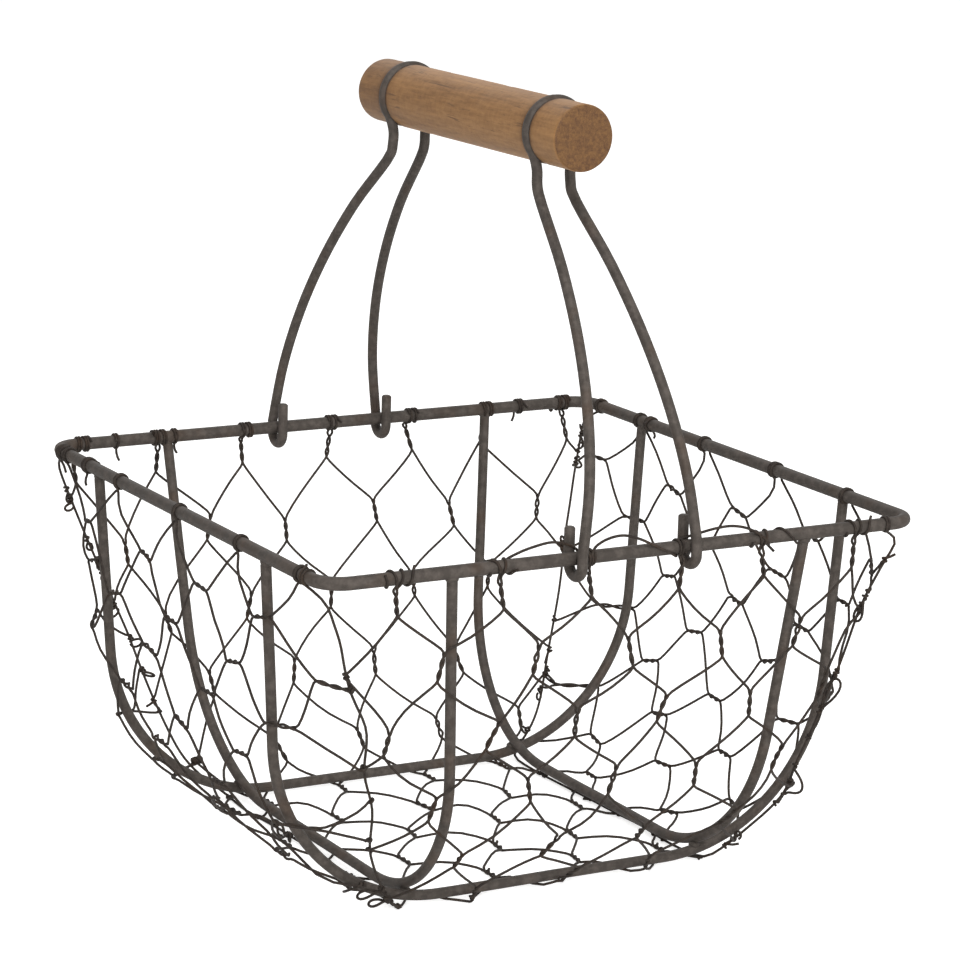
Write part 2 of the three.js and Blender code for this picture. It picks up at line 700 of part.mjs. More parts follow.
// Front and back of the strip, hung from the rim by their wound strand ends
function endPanel(facing) {
  const selvedgeX = (down) => cornerAt(outlineAt(endWall, down)[1])[0] - SELVEDGE_INSET;
  const bottom = endWall.total - cutInset;
  const panel = new NetPanel({
    place: (x, down) => onEndWall(facing, x, down),
    inside: (x, down) => Math.min(selvedgeX(down) - Math.abs(x), bottom - down),
    creases: [(x, down) => Math.abs(x) - crossEdge(outlineAt(endWall, down)[1])],
    outward: new THREE.Vector3(0, facing, -0.5),
  });
  const toPanel = ([x, along]) => [x, facing < 0 ? along : stripLength - along];
  const cuts = layStrip(panel, toPanel, flatNetHeight);
  for (const side of [-1, 1]) {
    const edge = cuts.filter(([x, down]) => x * side > 0 && down < bottom - MERGE_LENGTH);
    edge.sort((p, q) => p[1] - q[1]);
    addSelvedge(panel, [
      [side * selvedgeX(FIRST_TWIST), FIRST_TWIST],
      ...edge,
      [side * selvedgeX(bottom), bottom],
    ]);
  }
  const straight = RIM_WIDTH / 2 - RIM_CORNER;
  const shift = facing < 0 ? 0.5 : 0;
  for (let j = -stripColumns; j <= stripColumns; j++) {
    const x = (j + shift) * MESH_PITCH;
    if (Math.abs(x) > straight) continue;
    const centre = new THREE.Vector3(x, (facing * RIM_DEPTH) / 2, RIM_HEIGHT);
    panel.wrap(panel.node(x, FIRST_TWIST), centre, X);
  }
  return panel;
}

// Middle of the strip, flat on the table
function bottomPanel() {
  const edgeX = seamX - SELVEDGE_INSET;
  const edgeY = seamY - cutInset;
  const panel = new NetPanel({
    place: (x, y) => new THREE.Vector3(x, y, netZ),
    inside: (x, y) => Math.min(edgeX - Math.abs(x), edgeY - Math.abs(y)),
    outward: new THREE.Vector3(0, 0, -1),
  });
  const toPanel = ([x, along]) => [x, along - endWall.total - seamY];
  const cuts = layStrip(panel, toPanel, RIM_HEIGHT);
  for (const side of [-1, 1]) {
    const between = ([, y]) => Math.abs(y) < edgeY - MERGE_LENGTH;
    const edge = cuts.filter((cut) => cut[0] * side > edgeX - MERGE_LENGTH && between(cut));
    edge.sort((p, q) => p[1] - q[1]);
    addSelvedge(panel, [[side * edgeX, -edgeY], ...edge, [side * edgeX, edgeY]]);
  }
  return panel;
}

// Left and right panels: the same mesh turned, with its twists lying level
function sidePanel(facing) {
  const selvedgeY = (down) => cornerAt(outlineAt(sideWall, down)[1])[1] - SELVEDGE_INSET;
  const bottom = sideWall.total - SELVEDGE_INSET;
  const panel = new NetPanel({
    place: (y, down) => onSideWall(facing, y, down),
    inside: (y, down) => Math.min(selvedgeY(down) - Math.abs(y), bottom - down),
    creases: [(y, down) => Math.abs(y) - longEdge(outlineAt(sideWall, down)[1])],
    outward: new THREE.Vector3(facing, 0, -0.5),
  });
  const lines = Math.ceil(sideWall.total / (MESH_PITCH / 2));
  const rows = Math.ceil(RIM_DEPTH / SIDE_ROW / 2) + 1;
  const downOf = (k) => FIRST_TWIST + (k * MESH_PITCH) / 2;
  const cuts = [];
  for (let k = 0; k <= lines; k++) {
    for (let j = -rows; j <= rows; j++) {
      const odd = (k + (facing < 0 ? 0 : 1)) % 2;
      const y = (2 * j + odd) * SIDE_ROW;
      const half = k === 0 ? 0 : halfTwist;
      const nextHalf = halfTwist;
      const ends = [[y - half, downOf(k)], [y + half, downOf(k)]];
      if (k > 0) {
        if (ends.every((end) => panel.inside(...end) > 0)) {
          panel.twist(...ends, panel.place(...ends[0]).z < flatNetHeight);
        } else {
          cuts.push(panel.clippedStrand(...ends, 2 * NET_WIRE));
        }
      } else if (Math.abs(y) < RIM_DEPTH / 2 - RIM_CORNER) {
        const centre = new THREE.Vector3((facing * RIM_WIDTH) / 2, y, RIM_HEIGHT);
        panel.wrap(panel.node(y, downOf(0)), centre, Y);
      } else {
        continue;
      }
      cuts.push(panel.clippedStrand(ends[0], [y - SIDE_ROW + nextHalf, downOf(k + 1)]));
      cuts.push(panel.clippedStrand(ends[1], [y + SIDE_ROW - nextHalf, downOf(k + 1)]));
    }
  }
  const found = cuts.filter((cut) => cut !== null);
  const corner = selvedgeY(bottom);
  const along = ([y, down]) => {
    if (down > bottom - MERGE_LENGTH) return y + RIM_DEPTH;
    return y < 0 ? down - sideWall.total : 3 * RIM_DEPTH - down;
  };
  found.sort((p, q) => along(p) - along(q));
  const before = found.filter((p) => p[1] <= bottom - MERGE_LENGTH && p[0] < 0);
  const under = found.filter((p) => p[1] > bottom - MERGE_LENGTH);
  const after = found.filter((p) => p[1] <= bottom - MERGE_LENGTH && p[0] > 0);
  addSelvedge(panel, [
    [-selvedgeY(FIRST_TWIST), FIRST_TWIST],
    ...before,
    [-corner, bottom],
    ...under,
    [corner, bottom],
    ...after,
    [selvedgeY(FIRST_TWIST), FIRST_TWIST],
  ]);
  return panel;
}

addPiece('net_front', endPanel(-1).geometry(), darkWire(0.65));
addPiece('net_back', endPanel(1).geometry(), darkWire(0.65));
addPiece('net_left', sidePanel(-1).geometry(), darkWire(0.65));
addPiece('net_right', sidePanel(1).geometry(), darkWire(0.65));
addPiece('net_bottom', bottomPanel().geometry(), darkWire(0.65));

// Lacing wire: spirals along the front rim and arches loosely over it inside the hooks
function lacingPoints() {
  const tight = rimR + 3 * GAP + NET_WIRE + netR;
  const stepsPerTurn = 10;
  const steps = LACING_TURNS * stepsPerTurn;
  const points = [];
  for (let i = 0; i <= steps; i++) {
    const turn = i / stepsPerTurn - LACING_TURNS / 2;
    const angle = 2 * Math.PI * (turn + 0.5);
    const radius = tight + LACING_ARCH * Math.max(0, Math.cos(angle)) ** 2;
    points.push(new THREE.Vector3(
      turn * LACING_PITCH,
      -RIM_DEPTH / 2 + radius * Math.sin(angle),
      RIM_HEIGHT + radius * Math.cos(angle),
    ));
  }
  return points;
}

addPiece('front_lacing_wire', bentWire(lacingPoints(), netR, 5), darkWire(0.65));

export default group;
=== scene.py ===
"""Looks of the wire storage basket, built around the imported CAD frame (metres, +Z up).

Paths are worked out in millimetres and scaled when they become meshes.
"""

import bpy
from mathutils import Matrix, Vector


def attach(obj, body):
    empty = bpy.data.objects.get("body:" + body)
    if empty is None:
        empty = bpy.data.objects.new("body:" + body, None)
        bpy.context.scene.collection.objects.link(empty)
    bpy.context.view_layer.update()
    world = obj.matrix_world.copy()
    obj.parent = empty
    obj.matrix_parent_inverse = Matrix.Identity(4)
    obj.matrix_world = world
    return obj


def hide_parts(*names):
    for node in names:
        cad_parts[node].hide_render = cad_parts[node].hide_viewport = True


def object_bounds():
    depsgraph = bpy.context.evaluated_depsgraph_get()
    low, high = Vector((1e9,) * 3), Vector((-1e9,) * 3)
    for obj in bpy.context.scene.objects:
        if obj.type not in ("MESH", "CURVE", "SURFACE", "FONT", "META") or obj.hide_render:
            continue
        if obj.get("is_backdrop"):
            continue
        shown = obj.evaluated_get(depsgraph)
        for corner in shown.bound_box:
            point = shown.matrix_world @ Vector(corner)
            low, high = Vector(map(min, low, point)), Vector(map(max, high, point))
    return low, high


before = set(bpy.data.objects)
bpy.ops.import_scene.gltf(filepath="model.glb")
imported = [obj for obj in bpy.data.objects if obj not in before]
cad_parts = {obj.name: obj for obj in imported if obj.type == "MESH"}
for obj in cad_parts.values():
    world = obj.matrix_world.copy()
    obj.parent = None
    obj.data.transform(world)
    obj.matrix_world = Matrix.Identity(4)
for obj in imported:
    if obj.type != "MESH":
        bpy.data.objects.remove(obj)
CAD_BOX = [list(corner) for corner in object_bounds()]

import logging
import math
import random
from dataclasses import dataclass, field
from enum import Enum
from typing import Callable, Sequence

import bmesh
import bpy
from mathutils import Vector, noise

LOG = logging.getLogger("basket")
MM = 0.001
X, Y, Z = Vector((1, 0, 0)), Vector((0, 1, 0)), Vector((0, 0, 1))
WHITE = (1, 1, 1, 1)
# Blender's vector noise takes its offsets from the clock unless it gets a seed.
NOISE_SEED = 4
# Flat is a pair of lengths, such as a place on a spread-out net panel. Key is a twist's row and column.
Flat = tuple[float, float]
Key = tuple[int, int]
Path = list[Vector]
Tree = bpy.types.NodeTree
Node = bpy.types.Node
Socket = bpy.types.NodeSocket
Material = bpy.types.Material


def linear(colour: str) -> tuple[float, float, float, float]:
    """Turns an sRGB hex colour into the linear values that sockets expect.

    Args:
        colour: Six hex digits after a hash sign.

    Returns:
        Red, green, blue and an alpha of one.
    """
    def channel(start: int) -> float:
        """Linear value of the two digits at start."""
        value = int(colour[start:start + 2], 16) / 255
        return value / 12.92 if value <= 0.04045 else ((value + 0.055) / 1.055) ** 2.4

    return channel(1), channel(3), channel(5), 1.0


def add_node(tree: Tree, kind: str, settings: dict | None = None, inputs: dict | None = None) -> Node:
    """Adds one node with its settings, values and links.

    Args:
        tree: The tree that gets the node.
        kind: The node's Blender type name.
        settings: Node properties by name.
        inputs: Values or output sockets, by input name, identifier or index.

    Returns:
        The new node.
    """
    node = tree.nodes.new(kind)
    for name, value in (settings or {}).items():
        setattr(node, name, value)
    for key, value in (inputs or {}).items():
        socket = node.inputs[key] if isinstance(key, int) else next(
            s for s in node.inputs if key in (s.identifier, s.name) and s.enabled)
        if isinstance(value, Socket):
            tree.links.new(value, socket)
        else:
            socket.default_value = value
    return node


def mixed_colour(tree: Tree, share: Socket, a: object, b: object) -> Socket:
    """Mixes two colours.

    Args:
        tree: The tree that gets the node.
        share: How much of the second colour shows.
        a: The first colour, a value or a socket.
        b: The second colour, a value or a socket.

    Returns:
        The mixed colour.
    """
    node = add_node(tree, "ShaderNodeMix", {"data_type": "RGBA"}, {
        "Factor_Float": share, "A_Color": a, "B_Color": b})
    return next(socket for socket in node.outputs if socket.identifier == "Result_Color")


def new_material(name: str) -> tuple[Material, Tree, Node]:
    """Starts a material.

    Args:
        name: Its name.

    Returns:
        The material, its tree and its Principled shader.
    """
    material = bpy.data.materials.new(name)
    material.use_nodes = True
    return material, material.node_tree, material.node_tree.nodes["Principled BSDF"]


def placed(name: str, data: bpy.types.ID) -> bpy.types.Object:
    """Puts data in the scene as an object.

    Args:
        name: The object's name.
        data: Its mesh, lamp or camera.

    Returns:
        The object.
    """
    made = bpy.data.objects.new(name, data)
    bpy.context.collection.objects.link(made)
    return made


def lerp(a: float, b: float, t: float) -> float:
    """Value between a and b."""
    return a + (b - a) * t


def clamp(value: float, low: float, high: float) -> float:
    """Value held between two limits."""
    return max(low, min(high, value))


def sampled(rows: Sequence[Flat], at: float) -> float:
    """Reads a table of rising places and their values.

    Args:
        rows: The places and their values.
        at: Where to read. It is held inside the table.

    Returns:
        The value between the nearest two rows.
    """
    i = next((k for k in range(1, len(rows)) if rows[k][0] >= at), len(rows) - 1)
    (low, a), (high, b) = rows[i - 1], rows[i]
    return lerp(a, b, clamp((at - low) / (high - low), 0.0, 1.0))


def curve_through(points: Sequence[Vector], steps: int) -> Path:
    """Runs a centripetal Catmull-Rom curve through points, straight on past both ends.

    Args:
        points: The points that the curve passes.
        steps: Pieces between each two points.

    Returns:
        Points along the curve.
    """
    row = [points[0] * 2 - points[1], *points, points[-1] * 2 - points[-2]]
    made = []
    for p0, p1, p2, p3 in zip(row, row[1:], row[2:], row[3:]):
        t1 = (p1 - p0).length ** 0.5
        t2 = t1 + (p2 - p1).length ** 0.5
        t3 = t2 + (p3 - p2).length ** 0.5
        for k in range(steps):
            t = lerp(t1, t2, k / steps)
            a1 = p0 * ((t1 - t) / t1) + p1 * (t / t1)
            a2 = p1 * ((t2 - t) / (t2 - t1)) + p2 * ((t - t1) / (t2 - t1))
            a3 = p2 * ((t3 - t) / (t3 - t2)) + p3 * ((t - t2) / (t3 - t2))
            b1 = a1 * ((t2 - t) / t2) + a2 * (t / t2)
            b2 = a2 * ((t3 - t) / (t3 - t1)) + a3 * ((t - t1) / (t3 - t1))
            made.append(b1 * ((t2 - t) / (t2 - t1)) + b2 * ((t - t1) / (t2 - t1)))
    return made + [points[-1].copy()]


def relaxed(points: Path, rounds: int = 1) -> Path:
    """Eases the bends of a path, as stiff wire does, and keeps its ends.

    Args:
        points: The path.
        rounds: How many times it is eased.

    Returns:
        The eased path.
    """
    for _ in range(rounds):
        eased = [b * 0.5 + (a + c) * 0.25 for a, b, c in zip(points, points[1:], points[2:])]
        points = [points[0], *eased, points[-1]]
    return points


def helix(centre: Vector, axis: Vector, side: Vector, other: Vector, radius: float, turns: float, steps: int,
          pitch: float, start: float = 0.0, shift: float = 0.0) -> Path:
    """Turns of wire round a centre line.

    Args:
        centre: A point of the centre line.
        axis: The direction in which the turns move along it.
        side: Direction that angles are measured from.
        other: Direction that they grow towards.
        radius: Distance of the wire from the centre line.
        turns: Number of turns.
        steps: Pieces in all.
        pitch: Advance of one turn.
        start: Angle of the first point.
        shift: How far along the axis the first point lies from the centre.

    Returns:
        Its points.
    """
    made = []
    for i in range(steps + 1):
        t = turns * i / steps
        angle = start + 2 * math.pi * t
        made.append(centre + axis * (shift + pitch * t)
                    + (side * math.cos(angle) + other * math.sin(angle)) * radius)
    return made


# Finishes


@dataclass(frozen=True)
class LacqueredWire:
    """Drawn iron wire under thin brown-black lacquer: a soft dull sheen with dusty and rusty mottling."""

    name: str
    base: str
    dust: str
    rust: str
    metallic: float = 0.25
    roughness: float = 0.5
    shine: float = 0.2
    edge: str = "#6b6661"
    mottle_mm: float = 3.0
    # The real grit is about 0.05 mm, too fine to show, so it is drawn several times coarser.
    grit_mm: float = 0.35
    # Each range holds the noise values at which a pattern starts to show and shows most.
    dust_range: Flat = (0.42, 0.72)
    dust_share: float = 0.75
    rust_range: Flat = (0.52, 0.72)
    rust_share: float = 0.34
    dull_range: Flat = (0.3, 0.7)
    duller: Flat = (-0.08, 0.16)
    # Each relief is a bump's strength and its depth in millimetres.
    grit_relief: Flat = (0.22, 0.06)
    mottle_relief: Flat = (0.35, 0.12)

    def build(self) -> Material:
        """Makes the material.

        Returns:
            The procedural material on Object coordinates.
        """
        material, tree, shader = new_material(self.name)
        place = add_node(tree, "ShaderNodeTexCoord").outputs["Object"]
        # Thin brown-black lacquer over drawn iron: dark brown-grey wire that is paler where dust has
        # settled, warmer where rust comes through, and shines softly along its upper side.
        mottle, patches, grit = (
            add_node(tree, "ShaderNodeTexNoise", inputs={
                "Vector": place, "Scale": 1 / MM / size, "Detail": detail,
                "Roughness": rough}).outputs["Fac"]
            for size, detail, rough in (
                (self.mottle_mm, 5.0, 0.62), (self.mottle_mm * 5, 3.0, 0.55), (self.grit_mm, 3.0, 0.5)))
        smoothest, roughest = (self.roughness + change for change in self.duller)
        dusty, rusty, dull = (
            add_node(tree, "ShaderNodeMapRange", inputs={
                "Value": value, "From Min": limits[0], "From Max": limits[1], "To Min": least,
                "To Max": most}).outputs["Result"]
            for value, limits, least, most in (
                (mottle, self.dust_range, 0.0, self.dust_share),
                (patches, self.rust_range, 0.0, self.rust_share),
                (mottle, self.dull_range, smoothest, roughest)))
        colour = mixed_colour(tree, dusty, linear(self.base), linear(self.dust))
        colour = mixed_colour(tree, rusty, colour, linear(self.rust))
        # The lacquer's grit and small unevenness break the highlight up into a dull line.
        relief = add_node(tree, "ShaderNodeBump", inputs={
            "Height": grit, "Strength": self.grit_relief[0], "Distance": self.grit_relief[1] * MM})
        uneven = add_node(tree, "ShaderNodeBump", inputs={
            "Height": mottle, "Strength": self.mottle_relief[0], "Distance": self.mottle_relief[1] * MM,
            "Normal": relief.outputs["Normal"]})
        tree.links.new(colour, shader.inputs["Base Color"])
        tree.links.new(dull, shader.inputs["Roughness"])
        tree.links.new(uneven.outputs["Normal"], shader.inputs["Normal"])
        # The dull lacquer hardly shines at its edges, so the wires end in dark outlines.
        shader.inputs["Metallic"].default_value = self.metallic
        shader.inputs["Specular IOR Level"].default_value = self.shine
        shader.inputs["Specular Tint"].default_value = linear(self.edge)
        return material


@dataclass(frozen=True)
class OiledAcacia:
    """Turned and oiled acacia dowel: long fibre streaks on the barrel, dark pores, browner cut ends."""

    name: str = "oiled_acacia"
    light: str = "#9d7448"
    dark: str = "#704e2c"
    # The pore colour is also the tint of the painted shade on the grip.
    pore_and_shade: str = "#4a3220"
    cut_light: str = "#7b572d"
    cut_dark: str = "#482b14"
    fibre_mm: float = 1.1
    figure_mm: float = 7.0
    mottle_mm: float = 2.2
    crack_mm: float = 2.0
    # Real pores are 0.1 to 0.2 mm wide. They are drawn 0.6 mm wide on the barrel and 1 mm on the cut ends,
    # so that they show.
    pore_mm: float = 0.6
    speck_mm: float = 1.0
    # Each range holds the values at which a pattern starts to show and shows most.
    tone_range: Flat = (0.36, 0.62)
    pore_range: Flat = (0.38, 0.27)
    pore_share: float = 0.6
    crack_range: Flat = (0.39, 0.3)
    crack_share: float = 0.75
    speck_range: Flat = (0.33, 0.66)
    cut_range: Flat = (0.55, 0.85)
    # Each relief is a bump's strength and its depth in millimetres.
    grain_relief: Flat = (0.5, 0.12)
    pit_relief: Flat = (0.5, 0.1)
    roughness: float = 0.62
    shine: float = 0.35
    axis_height_m: float = 0.25275

    def build(self) -> Material:
        """Makes the material.

        Returns:
            The procedural material, with its fibres along Y.
        """
        material, tree, shader = new_material(self.name)
        place = add_node(tree, "ShaderNodeTexCoord").outputs["Object"]
        # Oiled acacia: warm mid brown with fine fibres and soft figure along the barrel, where the oil
        # leaves a low satin sheen. Short drying cracks run nearly along the fibres as thin dark streaks.
        along, stretched = (
            add_node(tree, "ShaderNodeMapping", inputs={
                "Vector": place, "Location": shift, "Rotation": turn,
                "Scale": (1.0, stretch, 1.0)}).outputs["Vector"]
            for shift, turn, stretch in (
                ((0.0021, 0.0, -self.axis_height_m), (0.05, 0.0, 0.035), 0.09),
                ((0.0, 0.0, 0.0), (0.09, 0.0, 0.03), 0.075)))
        fibres, figure, pores, mottle, splits, specks = (
            add_node(tree, "ShaderNodeTexNoise", inputs={
                "Vector": vector, "Scale": 1 / MM / size, "Detail": detail, "Roughness": rough,
                "Distortion": warp}).outputs["Fac"]
            for vector, size, detail, rough, warp in (
                (along, self.fibre_mm, 4.0, 0.6, 0.0), (along, self.figure_mm, 2.0, 0.5, 0.6),
                (along, self.pore_mm, 3.0, 0.65, 0.0), (place, self.mottle_mm, 5.0, 0.7, 0.0),
                (stretched, self.crack_mm, 4.0, 0.7, 0.5), (place, self.speck_mm, 5.0, 0.75, 0.0)))
        grain = 0.0
        for pattern, weight in ((mottle, 0.3), (figure, 0.35), (fibres, 0.35)):
            grain = add_node(tree, "ShaderNodeMath", {"operation": "MULTIPLY_ADD"}, {
                0: pattern, 1: weight, 2: grain}).outputs["Value"]
        facing = add_node(tree, "ShaderNodeSeparateXYZ", inputs={
            "Vector": add_node(tree, "ShaderNodeNewGeometry").outputs["True Normal"]})
        turned = add_node(tree, "ShaderNodeMath", {"operation": "ABSOLUTE"}, {0: facing.outputs["Y"]})
        tone, pitted, cracked, speckled, is_cut = (
            add_node(tree, "ShaderNodeMapRange", inputs={
                "Value": value, "From Min": limits[0], "From Max": limits[1],
                "To Max": most}).outputs["Result"]
            for value, limits, most in (
                (grain, self.tone_range, 1.0), (pores, self.pore_range, self.pore_share),
                (splits, self.crack_range, self.crack_share), (specks, self.speck_range, 1.0),
                (turned.outputs["Value"], self.cut_range, 1.0)))
        barrel = mixed_colour(tree, tone, linear(self.dark), linear(self.light))
        for hollow in (pitted, cracked):
            barrel = mixed_colour(tree, hollow, barrel, linear(self.pore_and_shade))
        # The cut ends drink more oil, so they are browner, with the fibres end on as dark specks.
        cut = mixed_colour(tree, speckled, linear(self.cut_dark), linear(self.cut_light))
        colour = mixed_colour(tree, is_cut, barrel, cut)
        # Painted shade: a vertex attribute darkens the wood in and beside the grooves where the wire loops
        # sit and past the back loop. The chamfered ends are darkened by it too.
        shade_mask = add_node(tree, "ShaderNodeAttribute", {"attribute_name": "painted_shade"})
        worn_and_shaded = mixed_colour(tree, shade_mask.outputs["Fac"], colour, linear(self.pore_and_shade))
        relief = add_node(tree, "ShaderNodeBump", inputs={
            "Height": grain, "Strength": self.grain_relief[0], "Distance": self.grain_relief[1] * MM})
        pits = add_node(tree, "ShaderNodeBump", {"invert": True}, {
            "Height": pitted, "Strength": self.pit_relief[0], "Distance": self.pit_relief[1] * MM,
            "Normal": relief.outputs["Normal"]})
        tree.links.new(worn_and_shaded, shader.inputs["Base Color"])
        tree.links.new(pits.outputs["Normal"], shader.inputs["Normal"])
        shader.inputs["Roughness"].default_value = self.roughness
        shader.inputs["Specular IOR Level"].default_value = self.shine
        return material


# Geometry Nodes trees


def new_tree(name: str, sockets: Sequence[tuple[str, str]]) -> tuple[Tree, Node]:
    """Starts a Geometry Nodes tree with named inputs and one geometry output.

    Args:
        name: The tree's name.
        sockets: Name and socket type of each input between Geometry and Finish.

    Returns:
        The tree and its group input node.
    """
    tree = bpy.data.node_groups.new(name, "GeometryNodeTree")
    for label, kind in (("Geometry", "NodeSocketGeometry"), *sockets, ("Finish", "NodeSocketMaterial")):
        tree.interface.new_socket(name=label, in_out="INPUT", socket_type=kind)
    tree.interface.new_socket(name="Geometry", in_out="OUTPUT", socket_type="NodeSocketGeometry")
    return tree, add_node(tree, "NodeGroupInput")


def end_tree(tree: Tree, start: Node, last: Socket) -> None:
    """Ends a tree with Realize Instances, smooth shading and Set Material.

    Args:
        tree: The tree.
        start: Its group input node.
        last: The geometry made so far.
    """
    real = add_node(tree, "GeometryNodeRealizeInstances", inputs={"Geometry": last})
    smooth = add_node(tree, "GeometryNodeSetShadeSmooth", inputs={"Geometry": real.outputs[0]})
    painted = add_node(tree, "GeometryNodeSetMaterial", inputs={
        "Geometry": smooth.outputs[0], "Material": start.outputs["Finish"]})
    add_node(tree, "NodeGroupOutput", inputs={"Geometry": painted.outputs[0]})


def round_wire_tree() -> Tree:
    """Sweeps a round wire along every edge path, as thick as the path's wire_radius attribute says.

    Returns:
        The tree, with inputs Sides and Finish.
    """
    tree, start = new_tree("round_wire", (("Sides", "NodeSocketInt"),))
    radius = add_node(tree, "GeometryNodeInputNamedAttribute", {"data_type": "FLOAT"}, {
        "Name": "wire_radius"})
    path = add_node(tree, "GeometryNodeMeshToCurve", inputs={"Mesh": start.outputs["Geometry"]})
    thick = add_node(tree, "GeometryNodeSetCurveRadius", inputs={
        "Curve": path.outputs[0], "Radius": radius.outputs["Attribute"]})
    section = add_node(tree, "GeometryNodeCurvePrimitiveCircle", inputs={
        "Resolution": start.outputs["Sides"], "Radius": 1.0})
    tube = add_node(tree, "GeometryNodeCurveToMesh", inputs={
        "Curve": thick.outputs[0], "Profile Curve": section.outputs[0], "Fill Caps": True,
        "Scale": radius.outputs["Attribute"]})
    end_tree(tree, start, tube.outputs[0])
    return tree


def weld_tree() -> Tree:
    """Puts a lumpy bead of weld metal at every point, stretched by the point's bead_size attribute.

    Returns:
        The tree, with inputs Lump size, Lump depth, Seed and Finish.
    """
    tree, start = new_tree("weld_bead", [
        (label, "NodeSocketFloat") for label in ("Lump size", "Lump depth", "Seed")])
    size = add_node(tree, "GeometryNodeInputNamedAttribute", {"data_type": "FLOAT_VECTOR"}, {
        "Name": "bead_size"})
    points = add_node(tree, "GeometryNodeMeshToPoints", inputs={"Mesh": start.outputs["Geometry"]})
    bead = add_node(tree, "GeometryNodeMeshIcoSphere", inputs={"Radius": 1.0, "Subdivisions": 4})
    beads = add_node(tree, "GeometryNodeInstanceOnPoints", inputs={
        "Points": points.outputs[0], "Instance": bead.outputs[0], "Scale": size.outputs["Attribute"]})
    real = add_node(tree, "GeometryNodeRealizeInstances", inputs={"Geometry": beads.outputs[0]})
    per_lump = add_node(tree, "ShaderNodeMath", {"operation": "DIVIDE"}, {
        0: 1.0, 1: start.outputs["Lump size"]})
    lumps = add_node(tree, "ShaderNodeTexNoise", {"noise_dimensions": "4D"}, {
        "Vector": add_node(tree, "GeometryNodeInputPosition").outputs[0], "W": start.outputs["Seed"],
        "Scale": per_lump.outputs[0], "Detail": 2.0})
    centred = add_node(tree, "ShaderNodeMath", {"operation": "SUBTRACT"}, {0: lumps.outputs["Fac"], 1: 0.5})
    depth = add_node(tree, "ShaderNodeMath", {"operation": "MULTIPLY"}, {
        0: centred.outputs[0], 1: start.outputs["Lump depth"]})
    offset = add_node(tree, "ShaderNodeVectorMath", {"operation": "SCALE"}, {
        "Vector": add_node(tree, "GeometryNodeInputNormal").outputs[0], "Scale": depth.outputs[0]})
    rough = add_node(tree, "GeometryNodeSetPosition", inputs={
        "Geometry": real.outputs[0], "Offset": offset.outputs[0]})
    end_tree(tree, start, rough.outputs[0])
    return tree


def grown(name: str, mesh: bpy.types.Mesh, tree: Tree, inputs: dict) -> bpy.types.Object:
    """Runs a Geometry Nodes tree on a mesh and keeps the result as a plain mesh piece.

    Args:
        name: The piece's name.
        mesh: What the tree starts from.
        tree: The tree.
        inputs: The tree's named inputs.

    Returns:
        The piece, with no modifier.
    """
    source = placed(f"{name}_source", mesh)
    modifier = source.modifiers.new("grow", "NODES")
    modifier.node_group = tree
    for item in tree.interface.items_tree:
        if item.item_type == "SOCKET" and item.in_out == "INPUT" and item.name in inputs:
            modifier[item.identifier] = inputs[item.name]
    graph = bpy.context.evaluated_depsgraph_get()
    made = bpy.data.meshes.new_from_object(source.evaluated_get(graph))
    made.name = name
    bpy.data.objects.remove(source)
    return placed(name, made)


def settle(piece: bpy.types.Object, body: str, nodes: Sequence[str] = ()) -> None:
    """Puts a finished piece on its body and logs it.

    Args:
        piece: The piece.
        body: The CAD body that carries it.
        nodes: The CAD nodes that it stands for.
    """
    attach(piece, body)
    if nodes:
        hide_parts(*nodes)
    LOG.info("%s on %s: %d faces", piece.name, body, len(piece.data.polygons))


@dataclass(frozen=True)
class WireStock:
    """One kind of wire: the tree that sweeps it, its finish, a slot name and its faces around."""

    sweep: Tree
    finish: Material
    slot: str
    sides: int


@dataclass
class WirePiece:
    """Wire paths in millimetres that become one piece. Ends of thick wire are a little rounded."""

    name: str
    stock: WireStock
    points: Path = field(default_factory=list)
    edges: list[Key] = field(default_factory=list)
    radii: list[float] = field(default_factory=list)
    thick_radius: float = 1.0
    end_length: float = 0.3
    end_width: float = 0.72

    def add(self, path: Sequence[Vector], radius: float, closed: bool = False) -> None:
        """Adds one path, held inside the CAD box less the wire's own radius.

        Args:
            path: Its points in millimetres.
            radius: The wire's radius in millimetres.
            closed: Whether it is a ring.
        """
        start = len(self.points)
        widths = [1.0] * len(path)
        if not closed and radius > self.thick_radius:
            (first, second), (last, before) = path[:2], (path[-1], path[-2])
            length = self.end_length * radius
            path = [first, first.lerp(second, length / (second - first).length), *path[1:-1],
                    last.lerp(before, length / (before - last).length), last]
            widths = [self.end_width] + [1.0] * (len(path) - 2) + [self.end_width]
        for p in path:
            held = [clamp(at, low / MM + radius, high / MM - radius) for at, low, high in zip(p, *CAD_BOX)]
            self.points.append(Vector(held) * MM)
        self.radii += [radius * width * MM for width in widths]
        self.edges += [(i, i + 1) for i in range(start, len(self.points) - 1)]
        if closed:
            self.edges.append((len(self.points) - 1, start))

    def settle(self, body: str, *nodes: str) -> None:
        """Sweeps the wires into a plain mesh and puts it on its body.

        Args:
            body: The CAD body that carries the piece.
            nodes: The CAD nodes that it stands for.
        """
        mesh = bpy.data.meshes.new(f"{self.name}_paths")
        mesh.from_pydata([tuple(p) for p in self.points], self.edges, [])
        mesh.attributes.new("wire_radius", "FLOAT", "POINT").data.foreach_set("value", self.radii)
        stock = self.stock
        piece = grown(self.name, mesh, stock.sweep, {"Sides": stock.sides, "Finish": stock.finish})
        settle(piece, body, nodes)


# Shape of the basket


